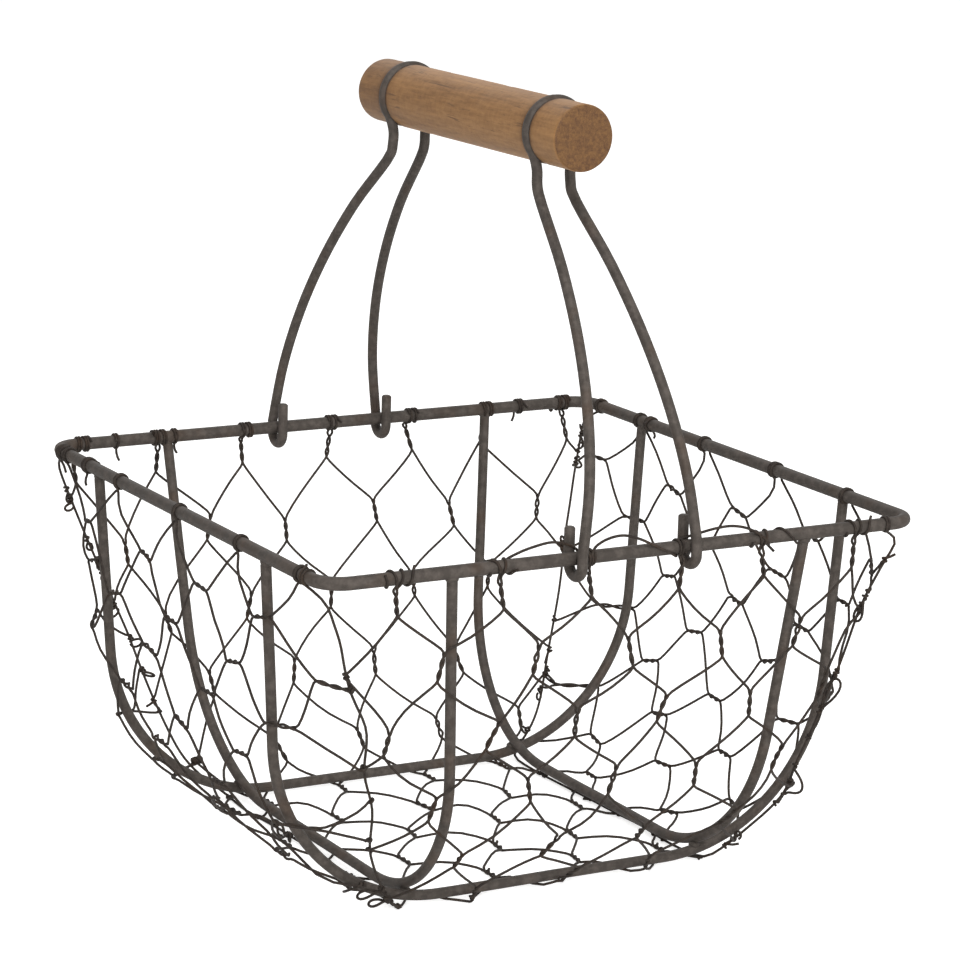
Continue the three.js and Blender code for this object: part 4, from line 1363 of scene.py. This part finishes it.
@dataclass
class Netting:
    """The hexagonal net: a strip down the front, under the bottom and up the back, and two side panels.

    The tuples of turns are what each winding draws its number of turns from.
    """

    shape: BasketShape
    stock: WireStock
    pitch: float = 33.5
    twist_length: float = 9.0
    first_twist: float = 1.2
    strip_rows: int = 15
    row_growth: float = 0.18
    side_row: float = 23.0
    strip_loose: float = 2.1
    side_loose: float = 1.9
    rim_eye: float = 0.35
    hook_room: float = 26.0
    inside_hooks: float = 17.0
    front_turns: tuple[float, ...] = (0.9, 1.1, 1.1, 1.3)
    back_turns: tuple[float, ...] = (1.6, 2.1, 2.1, 2.6)
    side_turns: tuple[int, ...] = (2, 3)
    tie_turns: tuple[float, ...] = (1.6, 2.6)
    tie_splay: Flat = (0.5, 2.5)
    rim_tails: tuple[int, ...] = (5, 3, 2)
    rim_shift: float = 0.35
    end_room: float = 2.0
    loose_spacing: float = 3.6
    seam_steps: int = 46
    seam_below_rim: float = 2.0
    seam_from_corner: float = 1.5
    loop_steps: int = 15
    loop_spacing: float = 1.6
    seed: int = 21

    def __post_init__(self) -> None:
        """Prepares the surface and the windings that all panels share."""
        self.surface = NetSurface(self.shape)
        self.rng = random.Random(self.seed)
        self.winding = RimWinding(self.shape, self.rng)

    def build(self) -> None:
        """Builds the net's pieces in the order of their random draws."""
        self.strip().settle("basket", "net_front", "net_bottom", "net_back")
        self.side_panel(-1, "netting_left").settle("basket", "net_left")
        self.side_panel(1, "netting_right").settle("basket", "net_right")
        self.seam(-1, "seam_wire_left", LEFT_LOOPS).settle("basket")
        self.seam(1, "seam_wire_right", RIGHT_LOOPS).settle("basket")
        self.ties().settle("basket")
        self.lacing().settle("basket", "front_lacing_wire")

    def strip_row(self, row: int) -> float:
        """Places a row of twists along the strip. The rows lie a little further apart towards the back.

        Args:
            row: The row's number from the front rim.

        Returns:
            Its distance along the strip.
        """
        first = self.first_twist + self.twist_length / 2
        span = self.surface.strip_length - 2 * first
        step = (span - self.row_growth * self.strip_rows ** 2) / self.strip_rows
        return first + step * row + self.row_growth * row * row

    def strip_lattice(self) -> Lattice:
        """Places the strip's twists. Those of the first and last row hang from the rim, clear of the hooks.

        Returns:
            The lattice.
        """
        surface, last = self.surface, self.strip_rows
        lattice = Lattice(
            place=surface.on_strip,
            inside=lambda a, b: surface.strip_edge(a) - abs(b),
            row_at=self.strip_row,
            column_at=lambda column: column * self.pitch / 2,
            rows=range(0, last + 1),
            columns=range(-9, 10),
            parity=1,
            loose=self.strip_loose,
            rng=self.rng)
        for (row, _), twist in lattice.twists.items():
            if row not in (0, last):
                continue
            from_edge = twist.length / 2 + self.shape.gap
            twist.a = from_edge if row == 0 else surface.strip_length - from_edge
            if row == 0 and abs(twist.b) < self.hook_room:
                twist.b = clamp(twist.b, -self.inside_hooks, self.inside_hooks)
            twist.eye += self.rim_eye
            twist.eye_at = lattice.eye_places[0 if row == 0 else -1]
        return lattice

    def strip(self) -> WirePiece:
        """Builds the strip, whose wires run from front to back.

        Returns:
            The piece.
        """
        lattice = self.strip_lattice()
        panel = NetPanel(self.surface, lattice)
        piece = WirePiece("netting_strip", self.stock)
        for family in (1, -1):
            for keys in panel.runs(family):
                points, ends = panel.build_run(keys, family)
                head, foot = (
                    self.rim_end(side, lattice.twists[keys[end]], step * family)
                    if keys[end][0] == rim_row else panel.cut_end(keys[end], step, family, ends[end])
                    for end, step, rim_row, side in ((0, -1, 0, -Y), (-1, 1, self.strip_rows, Y)))
                piece.add(relaxed(head[::-1] + points + foot), self.shape.drawn_radius)
        return piece

    def rim_end(self, side: Vector, twist: Twist, direction: float) -> Path:
        """Winds a wire's end round the front or back rim, loosely between the front hooks and the corners.

        Args:
            side: Which way that rim faces.
            twist: The twist below.
            direction: Which way along X the turns move.

        Returns:
            The points from the twist outwards.
        """
        limit = self.shape.rim_width / 2 - self.shape.rim_corner - self.end_room
        at = clamp(twist.b, -limit, limit)
        in_front = side.y < 0
        count = self.rng.choice(self.front_turns if in_front else self.back_turns)
        spacing = self.loose_spacing if in_front and abs(at) >= self.hook_room else 1.0
        points = self.winding.turns(side, at, direction, count, self.rim_shift, spacing)
        style = self.rng.choices(list(TailStyle), self.rim_tails)[0]
        return points + self.winding.tail(points, side, style, X * direction)

    def side_lattice(self, facing: float) -> Lattice:
        """Places a side panel's twists.

        Args:
            facing: -1 for the left, 1 for the right.

        Returns:
            The lattice.
        """
        surface, wall = self.surface, self.surface.side_wall
        columns = math.ceil(wall.total / (self.pitch / 2))
        rows = math.ceil(self.shape.rim_depth / 2 / self.side_row) + 1
        return Lattice(
            place=lambda a, b: surface.on_wall(wall, facing, a, b),
            inside=lambda a, b: min(surface.half_width(wall, b) - abs(a), wall.total - b),
            row_at=lambda row: row * self.side_row,
            column_at=lambda column: self.first_twist + column * self.pitch / 2,
            rows=range(-rows, rows + 1),
            columns=range(0, columns + 1),
            parity=0 if facing < 0 else 1,
            loose=self.side_loose,
            rng=self.rng)

    def side_panel(self, facing: float, name: str) -> WirePiece:
        """Builds the left or right panel, whose wires run level from front to back.

        Its uppermost column isn't twisted: there both wires are wound round the rim and run on as one.

        Args:
            facing: -1 for the left, 1 for the right.
            name: The piece's name.

        Returns:
            The piece.
        """
        lattice = self.side_lattice(facing)
        panel = NetPanel(self.surface, lattice)
        piece = WirePiece(name, self.stock)
        side, radius = X * facing, self.shape.drawn_radius
        straight = self.shape.rim_depth / 2 - self.shape.rim_corner
        joined: dict[Key, dict[int, Path]] = {}
        for family in (1, -1):
            near, far = (0, -1) if family > 0 else (-1, 0)
            for keys in panel.runs(family, low_column=1):
                points, ends = panel.build_run(keys, family)
                free = panel.cut_end(keys[far], family, family, ends[far])
                rim_key = (keys[near][0] - family, 0)
                at_rim = lattice.twists.get(rim_key) if keys[near][1] == 1 else None
                to_rim = at_rim is not None and abs(at_rim.a) < straight
                if to_rim:
                    top = panel.strand(ends[near], (at_rim.a, self.first_twist))
                else:
                    top = panel.cut_end(keys[near], -family, family, ends[near])
                path = top[::-1] + points + free if family > 0 else free[::-1] + points + top
                if to_rim:
                    joined.setdefault(rim_key, {})[family] = path
                else:
                    piece.add(relaxed(path), radius)
        for key, halves in joined.items():
            count = self.rng.choice(self.side_turns)
            shift = -self.winding.pitch * count / 2
            turns = self.winding.turns(side, lattice.twists[key].a, 1, count, shift)
            before = halves.get(-1) or self.winding.tail(turns[::-1], side, TailStyle.SNUG, -Y)[::-1]
            after = halves.get(1) or self.winding.tail(turns, side, TailStyle.SNUG, Y)
            piece.add(relaxed(before + turns + after), radius)
        return piece

    def seam(self, side: float, name: str, loops: Sequence[LooseLoop]) -> WirePiece:
        """Builds the wire that joins a side panel to the strip: down one corner, along below, up the other.

        Args:
            side: -1 for the left, 1 for the right.
            name: The piece's name.
            loops: The loose loops on it.

        Returns:
            The piece.
        """
        surface, shape = self.surface, self.shape
        front: Path = []
        for i in range(self.seam_steps + 1):
            down = lerp(self.seam_below_rim, surface.end_wall.total, i / self.seam_steps)
            z = surface.end_wall.at(down)[1]
            corner_x, corner_y = surface.corner(z)
            front.append(Vector((side * corner_x, -corner_y, z)))
        # The wire runs straight along the bottom, and the back half mirrors the front half.
        front += [Vector((side * shape.seam_x, y, shape.net_radius)) for y in range(-60, 1, 6)]
        back = [Vector((p.x, -p.y, p.z)) for p in reversed(front[:-1])]
        line = [surface.bent(p) for p in front + back]
        rim_side, winding = X * side, self.winding
        at = shape.rim_depth / 2 - shape.rim_corner - self.seam_from_corner
        if side > 0:
            first = winding.turns(-Y, at, 1, count=1.6, shift=0.0)
            first += winding.tail(first, -Y, TailStyle.SNUG, X)
        else:
            first = winding.turns(rim_side, -at, 1, count=1.4, shift=0.0, spacing=1.8)
            first += winding.tail(first, rim_side, TailStyle.SPIKE, Y)
        last = winding.turns(rim_side, at, -1, count=2.5, shift=0.0)
        last += winding.tail(last, rim_side, TailStyle.SNUG, -Y)
        piece = WirePiece(name, self.stock)
        piece.add(relaxed(first[::-1] + line + last, 2), shape.drawn_radius)
        middle = len(line) // 2
        for loop in loops:
            wall = line[middle:] if loop.at_back else line[:middle]
            i = min(range(1, len(wall) - 1), key=lambda k: abs(wall[k].z - loop.height))
            piece.add(relaxed(self.loose_loop(wall[i], wall[i + 1] - wall[i - 1], loop)), shape.drawn_radius)
        return piece

    def loose_loop(self, at: Vector, ahead: Vector, loop: LooseLoop) -> Path:
        """Winds spare wire on the seam, swings it out in a loop and brings it back.

        Args:
            at: Where it sits on the seam.
            ahead: The seam's direction there.
            loop: The loop.

        Returns:
            Its points.
        """
        axis = ahead.normalized()
        if axis.z > 0:
            axis.negate()
        level = Vector((at.x, at.y, 0)).normalized()
        out = (level - axis * level.dot(axis)).normalized()
        other = axis.cross(out)
        # The wire is wound on just up the seam, and again just past the loop's span.
        before, after = (
            helix(at, axis, out, other, 2 * self.shape.net_radius, turns, int(turns * 10),
                  self.loop_spacing * self.winding.pitch, shift=shift)
            for turns, shift in ((1.25, -1.9), (0.75, 0.8 + loop.span)))
        reach = (axis * loop.way[0] + out * loop.way[1] + other * loop.way[2]).normalized()
        turn = math.radians(loop.turn)
        aside = other * math.cos(turn) + out * math.sin(turn)
        aside = (aside - reach * aside.dot(reach)).normalized()
        swing = []
        for t in (i / self.loop_steps for i in range(1, self.loop_steps)):
            swing.append(before[-1] + axis * (loop.span * t) + reach * (loop.length * math.sin(math.pi * t))
                         + aside * (loop.width / 2 * math.sin(2 * math.pi * t)))
        return before + swing + after

    def ties(self) -> WirePiece:
        """Builds the short extra ties that hold the net to the rim near its corners.

        Returns:
            The piece.
        """
        surface, piece = self.surface, WirePiece("rim_ties", self.stock)
        for side, at, drop in TIES:
            direction = self.rng.choice((-1, 1))
            turns = self.winding.turns(side, at, direction, self.rng.choice(self.tie_turns), -1.0)
            tail = self.winding.tail(turns, side, TailStyle.SPIKE, across(side) * direction)
            wall = surface.side_wall if side.x else surface.end_wall
            splay = -direction * self.rng.uniform(*self.tie_splay)
            facing = side.x + side.y
            hung = [surface.on_wall(wall, facing, at + splay * t, drop * t) for t in (1.0, 0.7, 0.4)]
            piece.add(relaxed(hung + turns + tail), self.shape.drawn_radius)
        return piece

    def lacing(self) -> WirePiece:
        """Builds the loose wire that arches over the front rim and threads the hooks.

        Returns:
            The piece.
        """
        rim = self.shape.rim_point(-Y, 0)
        piece = WirePiece("lacing_wire", self.stock)
        line = curve_through([rim + Vector((x, -out, up)) for x, out, up in LACING_BENDS], 6)
        piece.add(line, self.shape.drawn_radius)
        return piece


# Frame wires


@dataclass
class FrameWires:
    """The rim, the four ribs and the welds that join them."""

    shape: BasketShape
    stock: WireStock
    wander: float = 0.22
    wander_size: float = 42.0
    rim_steps: int = 12
    lump_size: float = 1.1
    lump_depth: float = 0.55
    lump_seed: float = 3.0
    bead_rise: float = 0.15
    # The beads on the rim sit a hair inside its middle, which keeps them in the CAD box.
    bead_reach: float = 0.9993
    crossing_bead: tuple[float, float, float] = (1.9, 1.9, 1.25)
    rim_bead: tuple[float, float, float] = (1.75, 2.3, 1.7)

    def build(self, beads: Tree) -> None:
        """Builds the rim, the ribs and the welds.

        Args:
            beads: The weld bead tree.
        """
        shape = self.shape
        self.rim().settle("basket", "rim")
        self.rib("long_rib_back", X, 1, shape.long_rib).settle("basket", "rib_long_back")
        self.rib("long_rib_front", X, -1, shape.long_rib).settle("basket", "rib_long_front")
        self.rib("cross_rib_left", Y, -1, shape.cross_rib).settle("basket", "rib_cross_left")
        self.rib("cross_rib_right", Y, 1, shape.cross_rib).settle("basket", "rib_cross_right")
        settle(self.welds(beads), "basket")

    def rim(self) -> WirePiece:
        """Builds the rim, one wire bent into a square with rounded corners.

        Returns:
            The piece.
        """
        shape, steps = self.shape, self.rim_steps
        bends = []
        for quarter, (sx, sy) in enumerate(((1, 1), (-1, 1), (-1, -1), (1, -1))):
            centre = Vector((sx * (shape.rim_width / 2 - shape.rim_corner),
                             sy * (shape.rim_depth / 2 - shape.rim_corner), shape.rim_height))
            angles = [(quarter + i / steps) * math.pi / 2 for i in range(steps + 1)]
            bends.append([centre + (X * math.cos(a) + Y * math.sin(a)) * shape.rim_corner for a in angles])
        points: Path = []
        for bend, after in zip(bends, bends[1:] + bends[:1]):
            points += bend + [bend[-1].lerp(after[0], t / steps) for t in range(1, steps)]
        piece = WirePiece("rim_wire", self.stock)
        piece.add(points, shape.rim_radius, closed=True)
        return piece

    def rib(self, name: str, along: Vector, side: float, rib: RibShape) -> WirePiece:
        """Builds one rib, which wanders a little off its even line as hand-bent wire does.

        Args:
            name: The piece's name.
            along: The direction that the rib runs in.
            side: Which one of its pair it is, -1 or 1.
            rib: The pair's shape.

        Returns:
            The piece.
        """
        shape = self.shape
        top = shape.rim_height - shape.rim_radius - shape.gap / 2
        seed = Vector((1, 1, 1)) * (side + along.x * 3)
        points = []
        for reach, z in rib.path(top):
            even = along * reach + across(along) * (side * rib.spread(z, shape.long_rib.floor)) + Z * z
            points.append(even + noise.noise_vector(even / self.wander_size + seed) * self.wander)
        piece = WirePiece(name, self.stock)
        piece.add(curve_through(points, 2), shape.rib_radius)
        return piece

    def welds(self, beads: Tree) -> bpy.types.Object:
        """Builds the weld beads where the ribs meet the rim and each other.

        Args:
            beads: The weld bead tree.

        Returns:
            The piece.
        """
        shape, long_rib, cross_rib = self.shape, self.shape.long_rib, self.shape.cross_rib
        under = shape.rim_height - shape.rim_radius + self.bead_rise
        drop = math.sqrt(long_rib.fillet ** 2 - (cross_rib.bottom - long_rib.centre) ** 2)
        rise = long_rib.floor + long_rib.fillet - drop
        wide, deep, high = self.rim_bead
        places, sizes = [], []
        x, y = (rib.spread(rise, long_rib.floor) for rib in (cross_rib, long_rib))
        for sx, sy in ((-1, -1), (-1, 1), (1, -1), (1, 1)):
            places += [
                Vector((sx * shape.rim_width / 2 * self.bead_reach, sy * long_rib.top, under)),
                Vector((sx * cross_rib.top, sy * shape.rim_depth / 2 * self.bead_reach, under)),
                Vector((sx * x, sy * y, rise + shape.rib_radius))]
            sizes += [(wide, deep, high), (deep, wide, high), self.crossing_bead]
        mesh = bpy.data.meshes.new("weld_places")
        mesh.from_pydata([tuple(p * MM) for p in places], [], [])
        values = [value * MM for size in sizes for value in size]
        mesh.attributes.new("bead_size", "FLOAT_VECTOR", "POINT").data.foreach_set("vector", values)
        return grown("weld_beads", mesh, beads, {
            "Lump size": self.lump_size * MM, "Lump depth": self.lump_depth * MM, "Seed": self.lump_seed,
            "Finish": self.stock.finish})


# Handle


@dataclass
class Handle:
    """Two wire bails hooked on the rim, and the turned grip that they carry."""

    shape: BasketShape
    stock: WireStock
    bail_radius: float = 1.8
    grip_length: float = 137.0
    grip_radius: float = 11.0
    grip_segments: int = 96
    chamfer: float = 0.8
    groove_depth: float = 2.8
    groove_lip: float = 0.35
    groove_steps: int = 10
    before_groove: float = 0.9
    after_groove: float = 1.2
    barrel_step: float = 1.5
    barrel_ends: Flat = (2.0, 1.0)
    # The next four darken the grip's colour: painted shade in and beside the loops' grooves, how fast it
    # fades away from them, a darkening of the chamfered ends, and painted shade past the back loop.
    groove_shade: float = 0.9
    groove_shade_fade: float = 1.1
    end_darkening: float = 0.3
    back_end_shade: float = 0.3
    # Each row of dents is their scale, the noise value that they start at, and their depth.
    dents: tuple[tuple[float, float, float], ...] = ((0.5, 0.25, 0.25), (1.7, 0.35, 0.15))
    grip_rise: float = 127.6
    loop_offset: float = 50.0
    hook_half_spacing: float = 21.3
    hook_tip_rise: float = 9.5
    hook_lift: float = 1.6
    loop_half_opening: float = 8.0
    neck_half_spacing: float = 6.3
    neck_drop: float = 20.0
    neck_bend: float = 1.5
    hook_steps: int = 24
    neck_steps: int = 5
    loop_steps: int = 12

    @property
    def grip_z(self) -> float:
        """Height of the grip's axis."""
        return self.shape.rim_height + self.grip_rise

    @property
    def loop_radius(self) -> float:
        """Radius of a loop's centreline, which lies in the grip's groove."""
        return self.grip_radius - self.groove_depth + self.shape.gap + self.bail_radius

    def build(self, wood: Material) -> None:
        """Builds both bails and the grip.

        Args:
            wood: The grip's material.
        """
        self.bail("hooked_bail_back", 1).settle("handle", "bail_back")
        self.bail("hooked_bail_front", -1).settle("handle", "bail_front")
        settle(self.grip(wood), "grip", ["grip"])

    def bail(self, name: str, facing: float) -> WirePiece:
        """Builds a bail, from one hook's tip over its loop to the other's.

        Args:
            name: The piece's name.
            facing: -1 for the front, 1 for the back.

        Returns:
            The piece.
        """
        shape, hook_x, neck_x = self.shape, self.hook_half_spacing, self.neck_half_spacing
        rim_y, radius = shape.rim_depth / 2, shape.rim_radius + shape.gap + self.bail_radius
        hook = [(hook_x, rim_y - radius, shape.rim_height + self.hook_tip_rise * t) for t in (1.0, 0.5)]
        for angle in (-math.pi + math.pi * i / self.hook_steps for i in range(self.hook_steps + 1)):
            hook.append((hook_x, rim_y + radius * math.cos(angle),
                         shape.rim_height - self.hook_lift + radius * math.sin(angle)))
        rise = self.grip_rise - self.neck_drop - self.bail_radius
        run = rim_y + radius - self.loop_offset - self.neck_bend
        bend = []
        for t in (i / self.neck_steps for i in range(self.neck_steps + 1)):
            bend.append((hook_x - (hook_x - neck_x) * t, rim_y + radius - run * t ** 2,
                         shape.rim_height + self.bail_radius + rise * t))
        bend += [(neck_x, self.loop_offset + self.neck_bend / 4,
                  self.grip_z - self.neck_drop + 2 * self.neck_bend),
                 (neck_x, self.loop_offset, self.grip_z - self.loop_radius - self.bail_radius)]
        start = math.asin(self.loop_half_opening / self.loop_radius) - math.pi / 2
        for angle in (lerp(start, math.pi / 2, i / self.loop_steps) for i in range(self.loop_steps + 1)):
            bend.append((self.loop_radius * math.cos(angle), self.loop_offset,
                         self.grip_z + self.loop_radius * math.sin(angle)))
        hook, bend = ([Vector((x, facing * y, z)) for x, y, z in part] for part in (hook, bend))
        half = hook + curve_through(bend, 5)
        piece = WirePiece(name, self.stock)
        piece.add(half + [Vector((-p.x, p.y, p.z)) for p in reversed(half[:-1])], self.bail_radius)
        return piece

    def grip_profile(self) -> list[Flat]:
        """Turned profile from the front end to the back end.

        Returns:
            Pairs of radius and distance along the grip.
        """
        half, lip = self.grip_length / 2, self.groove_lip
        groove = self.bail_radius + self.shape.gap
        end = [(0.0, -half), (self.grip_radius * 0.5, -half)]
        for angle in (i * math.pi / 10 for i in range(6)):
            end.append((self.grip_radius - self.chamfer * (1 - math.sin(angle)),
                        -half + self.chamfer * (1 - math.cos(angle))))
        profile = list(end)
        y = -half + self.chamfer + self.barrel_ends[0]
        while y < half - self.chamfer - self.barrel_ends[1]:
            nearest = math.copysign(self.loop_offset, y)
            if abs(y - nearest) > groove + self.before_groove:
                profile.append((self.grip_radius, y))
                y += self.barrel_step
                continue
            profile.append((self.grip_radius, nearest - groove - lip))
            for i in range(self.groove_steps + 1):
                angle = math.pi * i / self.groove_steps
                eased = lip if i in (0, self.groove_steps) else 0
                profile.append((self.loop_radius - groove * math.sin(angle) + eased,
                                nearest - groove * math.cos(angle)))
            profile.append((self.grip_radius, nearest + groove + lip))
            y = nearest + groove + self.after_groove
        return profile + [(radius, -y) for radius, y in reversed(end)]

    def painted_shade(self, y: float) -> float:
        """Painted shade by the wire loops and past the back loop, and a darkening of the chamfered ends.

        Args:
            y: Distance along the grip from its middle.

        Returns:
            The share of darkening.
        """
        # Painted shade beside the loops' grooves and on the back end, and a darkening of the chamfered ends.
        beside = max(0.0, abs(abs(y) - self.loop_offset) - self.bail_radius - self.shape.gap)
        edge = clamp(abs(y) - self.grip_length / 2 + self.chamfer, 0.0, 1.0)
        past_back_loop = clamp(y - self.loop_offset, 0.0, 1.0)
        return clamp(self.groove_shade * math.exp(-beside / self.groove_shade_fade) + self.end_darkening * edge
                     + self.back_end_shade * past_back_loop, 0.0, self.groove_shade)

    def dent(self, angle: float, y: float) -> float:
        """Depth of the grip's dents at a spot: broad ones, and small ones among them.

        Args:
            angle: Angle round the grip.
            y: Distance along it.

        Returns:
            The depth in millimetres.
        """
        spot = Vector((math.cos(angle) * 6, y / 5, math.sin(angle) * 6))
        return sum(max(0.0, noise.noise(spot * scale) - start) * depth for scale, start, depth in self.dents)

    def grip(self, finish: Material) -> bpy.types.Object:
        """Builds the turned grip with its two grooves, worn edges and small dents.

        Args:
            finish: The wood.

        Returns:
            The piece.
        """
        mesh = bmesh.new()
        # A vertex attribute carries the painted shade by the loops and past the back loop, and the darker
        # ends.
        painted_shade = mesh.verts.layers.float.new("painted_shade")
        rings = []
        for radius, y in self.grip_profile():
            ring = []
            for k in range(self.grip_segments if radius else 1):
                angle = 2 * math.pi * k / self.grip_segments
                worn_and_shaded = radius - self.dent(angle, y) if radius else 0.0
                out = Vector((math.cos(angle), 0, math.sin(angle))) * worn_and_shaded
                vertex = mesh.verts.new((out + Y * y + Z * self.grip_z) * MM)
                vertex[painted_shade] = self.painted_shade(y)
                ring.append(vertex)
            rings.append(ring)
        for low, high in zip(rings, rings[1:]):
            for k in range(self.grip_segments):
                n = (k + 1) % self.grip_segments
                if len(low) == 1:
                    mesh.faces.new((low[0], high[k], high[n]))
                elif len(high) == 1:
                    mesh.faces.new((low[k], high[0], low[n]))
                else:
                    mesh.faces.new((low[k], high[k], high[n], low[n]))
        bmesh.ops.recalc_face_normals(mesh, faces=mesh.faces)
        data = bpy.data.meshes.new("wooden_grip")
        mesh.to_mesh(data)
        mesh.free()
        data.materials.append(finish)
        data.shade_smooth()
        return placed("wooden_grip", data)


# Studio


@dataclass(frozen=True)
class Lamp:
    """One large soft square lamp: its place and width in metres, and its power in watts."""

    name: str
    at: tuple[float, float, float]
    power: float
    width: float


@dataclass
class Studio:
    """Pale floor, white surroundings, soft lamps and the photograph's camera, in metres and degrees."""

    camera_at: tuple[float, float, float] = (-0.59577, -1.06275, 0.40227)
    yaw: float = -29.43
    pitch: float = 12.77
    roll: float = 1.54
    lens_mm: float = 136.12
    sensor_mm: float = 36.0
    view_end: float = 60.0
    world_level: float = 0.36
    floor_half: float = 14.0
    floor_drop: float = 0.0002
    floor_colour: str = "#e9e8e6"
    floor_roughness: float = 0.9
    floor_shine: float = 0.1
    floor_glow: float = 0.68
    lit_height: float = 0.1
    lamps: tuple[Lamp, ...] = (
        Lamp("key", (-0.6, -1.0, 1.9), 21.0, 1.2), Lamp("low_front", (-0.5, -1.7, 0.62), 19.0, 1.1),
        Lamp("fill", (1.5, -1.2, 0.9), 7.0, 1.5), Lamp("rim_light", (0.5, 1.5, 1.4), 7.0, 1.3))

    def build(self) -> None:
        """Makes the floor, the world, the lamps and the camera."""
        self.floor()
        self.world()
        for lamp in self.lamps:
            self.light(lamp)
        self.camera()

    def looked_at(self, tree: Tree) -> Socket:
        """Tells where the camera looks, directly, in a reflection or through a clear thing.

        Args:
            tree: The tree that gets the nodes.

        Returns:
            One there, and nought elsewhere.
        """
        rays = add_node(tree, "ShaderNodeLightPath").outputs
        seen = rays["Is Camera Ray"]
        for kind in ("Is Glossy Ray", "Is Transmission Ray"):
            either = add_node(tree, "ShaderNodeMath", {"operation": "MAXIMUM"}, {0: seen, 1: rays[kind]})
            seen = either.outputs["Value"]
        return seen

    def floor(self) -> None:
        """Makes a pale floor that shows white but keeps the object's shadow."""
        half, low = self.floor_half, -self.floor_drop
        mesh = bpy.data.meshes.new("floor")
        corners = [(half * sx, half * sy, low) for sx, sy in ((-1, -1), (1, -1), (1, 1), (-1, 1))]
        mesh.from_pydata(corners, [], [(0, 1, 2, 3)])
        material, tree, shader = new_material("pale_floor")
        shader.inputs["Base Color"].default_value = linear(self.floor_colour)
        shader.inputs["Roughness"].default_value = self.floor_roughness
        shader.inputs["Specular IOR Level"].default_value = self.floor_shine
        glow = add_node(tree, "ShaderNodeEmission", inputs={"Color": WHITE, "Strength": self.floor_glow})
        both = add_node(tree, "ShaderNodeAddShader", inputs={0: shader.outputs[0], 1: glow.outputs[0]})
        seen = add_node(tree, "ShaderNodeMixShader", inputs={
            0: self.looked_at(tree), 1: shader.outputs[0], 2: both.outputs[0]})
        tree.links.new(seen.outputs[0], tree.nodes["Material Output"].inputs["Surface"])
        mesh.materials.append(material)
        placed("floor", mesh)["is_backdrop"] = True

    def world(self) -> None:
        """Makes even white surroundings: full white to the camera and in reflections, softer as light."""
        world = bpy.data.worlds.new("studio")
        bpy.context.scene.world = world
        world.use_nodes = True
        tree = world.node_tree
        tree.nodes.clear()
        soft, white = (
            add_node(tree, "ShaderNodeBackground", inputs={"Color": WHITE, "Strength": strength}).outputs[0]
            for strength in (self.world_level, 1.0))
        mix = add_node(tree, "ShaderNodeMixShader", inputs={0: self.looked_at(tree), 1: soft, 2: white})
        add_node(tree, "ShaderNodeOutputWorld", inputs={"Surface": mix.outputs[0]})

    def light(self, lamp: Lamp) -> None:
        """Makes one lamp, which faces the basket.

        Args:
            lamp: What it is like.
        """
        data = bpy.data.lights.new(lamp.name, "AREA")
        data.energy = lamp.power
        data.shape = "SQUARE"
        data.size = lamp.width
        made = placed(lamp.name, data)
        made.location = lamp.at
        made.rotation_euler = (Z * self.lit_height - Vector(lamp.at)).to_track_quat("-Z", "Y").to_euler()

    def camera(self) -> None:
        """Makes the photograph's camera."""
        yaw, pitch, roll = (math.radians(v) for v in (self.yaw, self.pitch, self.roll))
        back = Vector((math.sin(yaw) * math.cos(pitch), -math.cos(yaw) * math.cos(pitch), math.sin(pitch)))
        right = (-back).cross(Z).normalized()
        up = right.cross(-back)
        data = bpy.data.cameras.new("camera")
        data.lens = self.lens_mm
        data.sensor_width = self.sensor_mm
        data.clip_end = self.view_end
        camera = placed("camera", data)
        level, tilted = math.cos(roll), math.sin(roll)
        columns = (right * level + up * tilted, up * level - right * tilted, back, Vector(self.camera_at))
        for column, vector in enumerate(columns):
            for row in range(3):
                camera.matrix_world[row][column] = vector[row]
        bpy.context.scene.camera = camera


def main() -> None:
    logging.basicConfig(level=logging.INFO, format="%(name)s: %(message)s")
    bpy.context.scene.view_settings.view_transform = "Standard"
    noise.seed_set(NOISE_SEED)
    frame_wire = LacqueredWire("lacquered_iron_wire", base="#47423e", dust="#635c57", rust="#533f30").build()
    net_wire = LacqueredWire("lacquered_net_wire", base="#322d2a", dust="#4c453f", rust="#463426",
                             roughness=0.55, mottle_mm=2.0, grit_mm=0.3).build()
    shape, sweep = BasketShape(), round_wire_tree()
    FrameWires(shape, WireStock(sweep, frame_wire, "frame_wire", sides=20)).build(weld_tree())
    Netting(shape, WireStock(sweep, net_wire, "net_wire", sides=7)).build()
    Handle(shape, WireStock(sweep, frame_wire, "frame_wire", sides=18)).build(OiledAcacia().build())
    Studio().build()


if __name__ == "__main__":
    main()
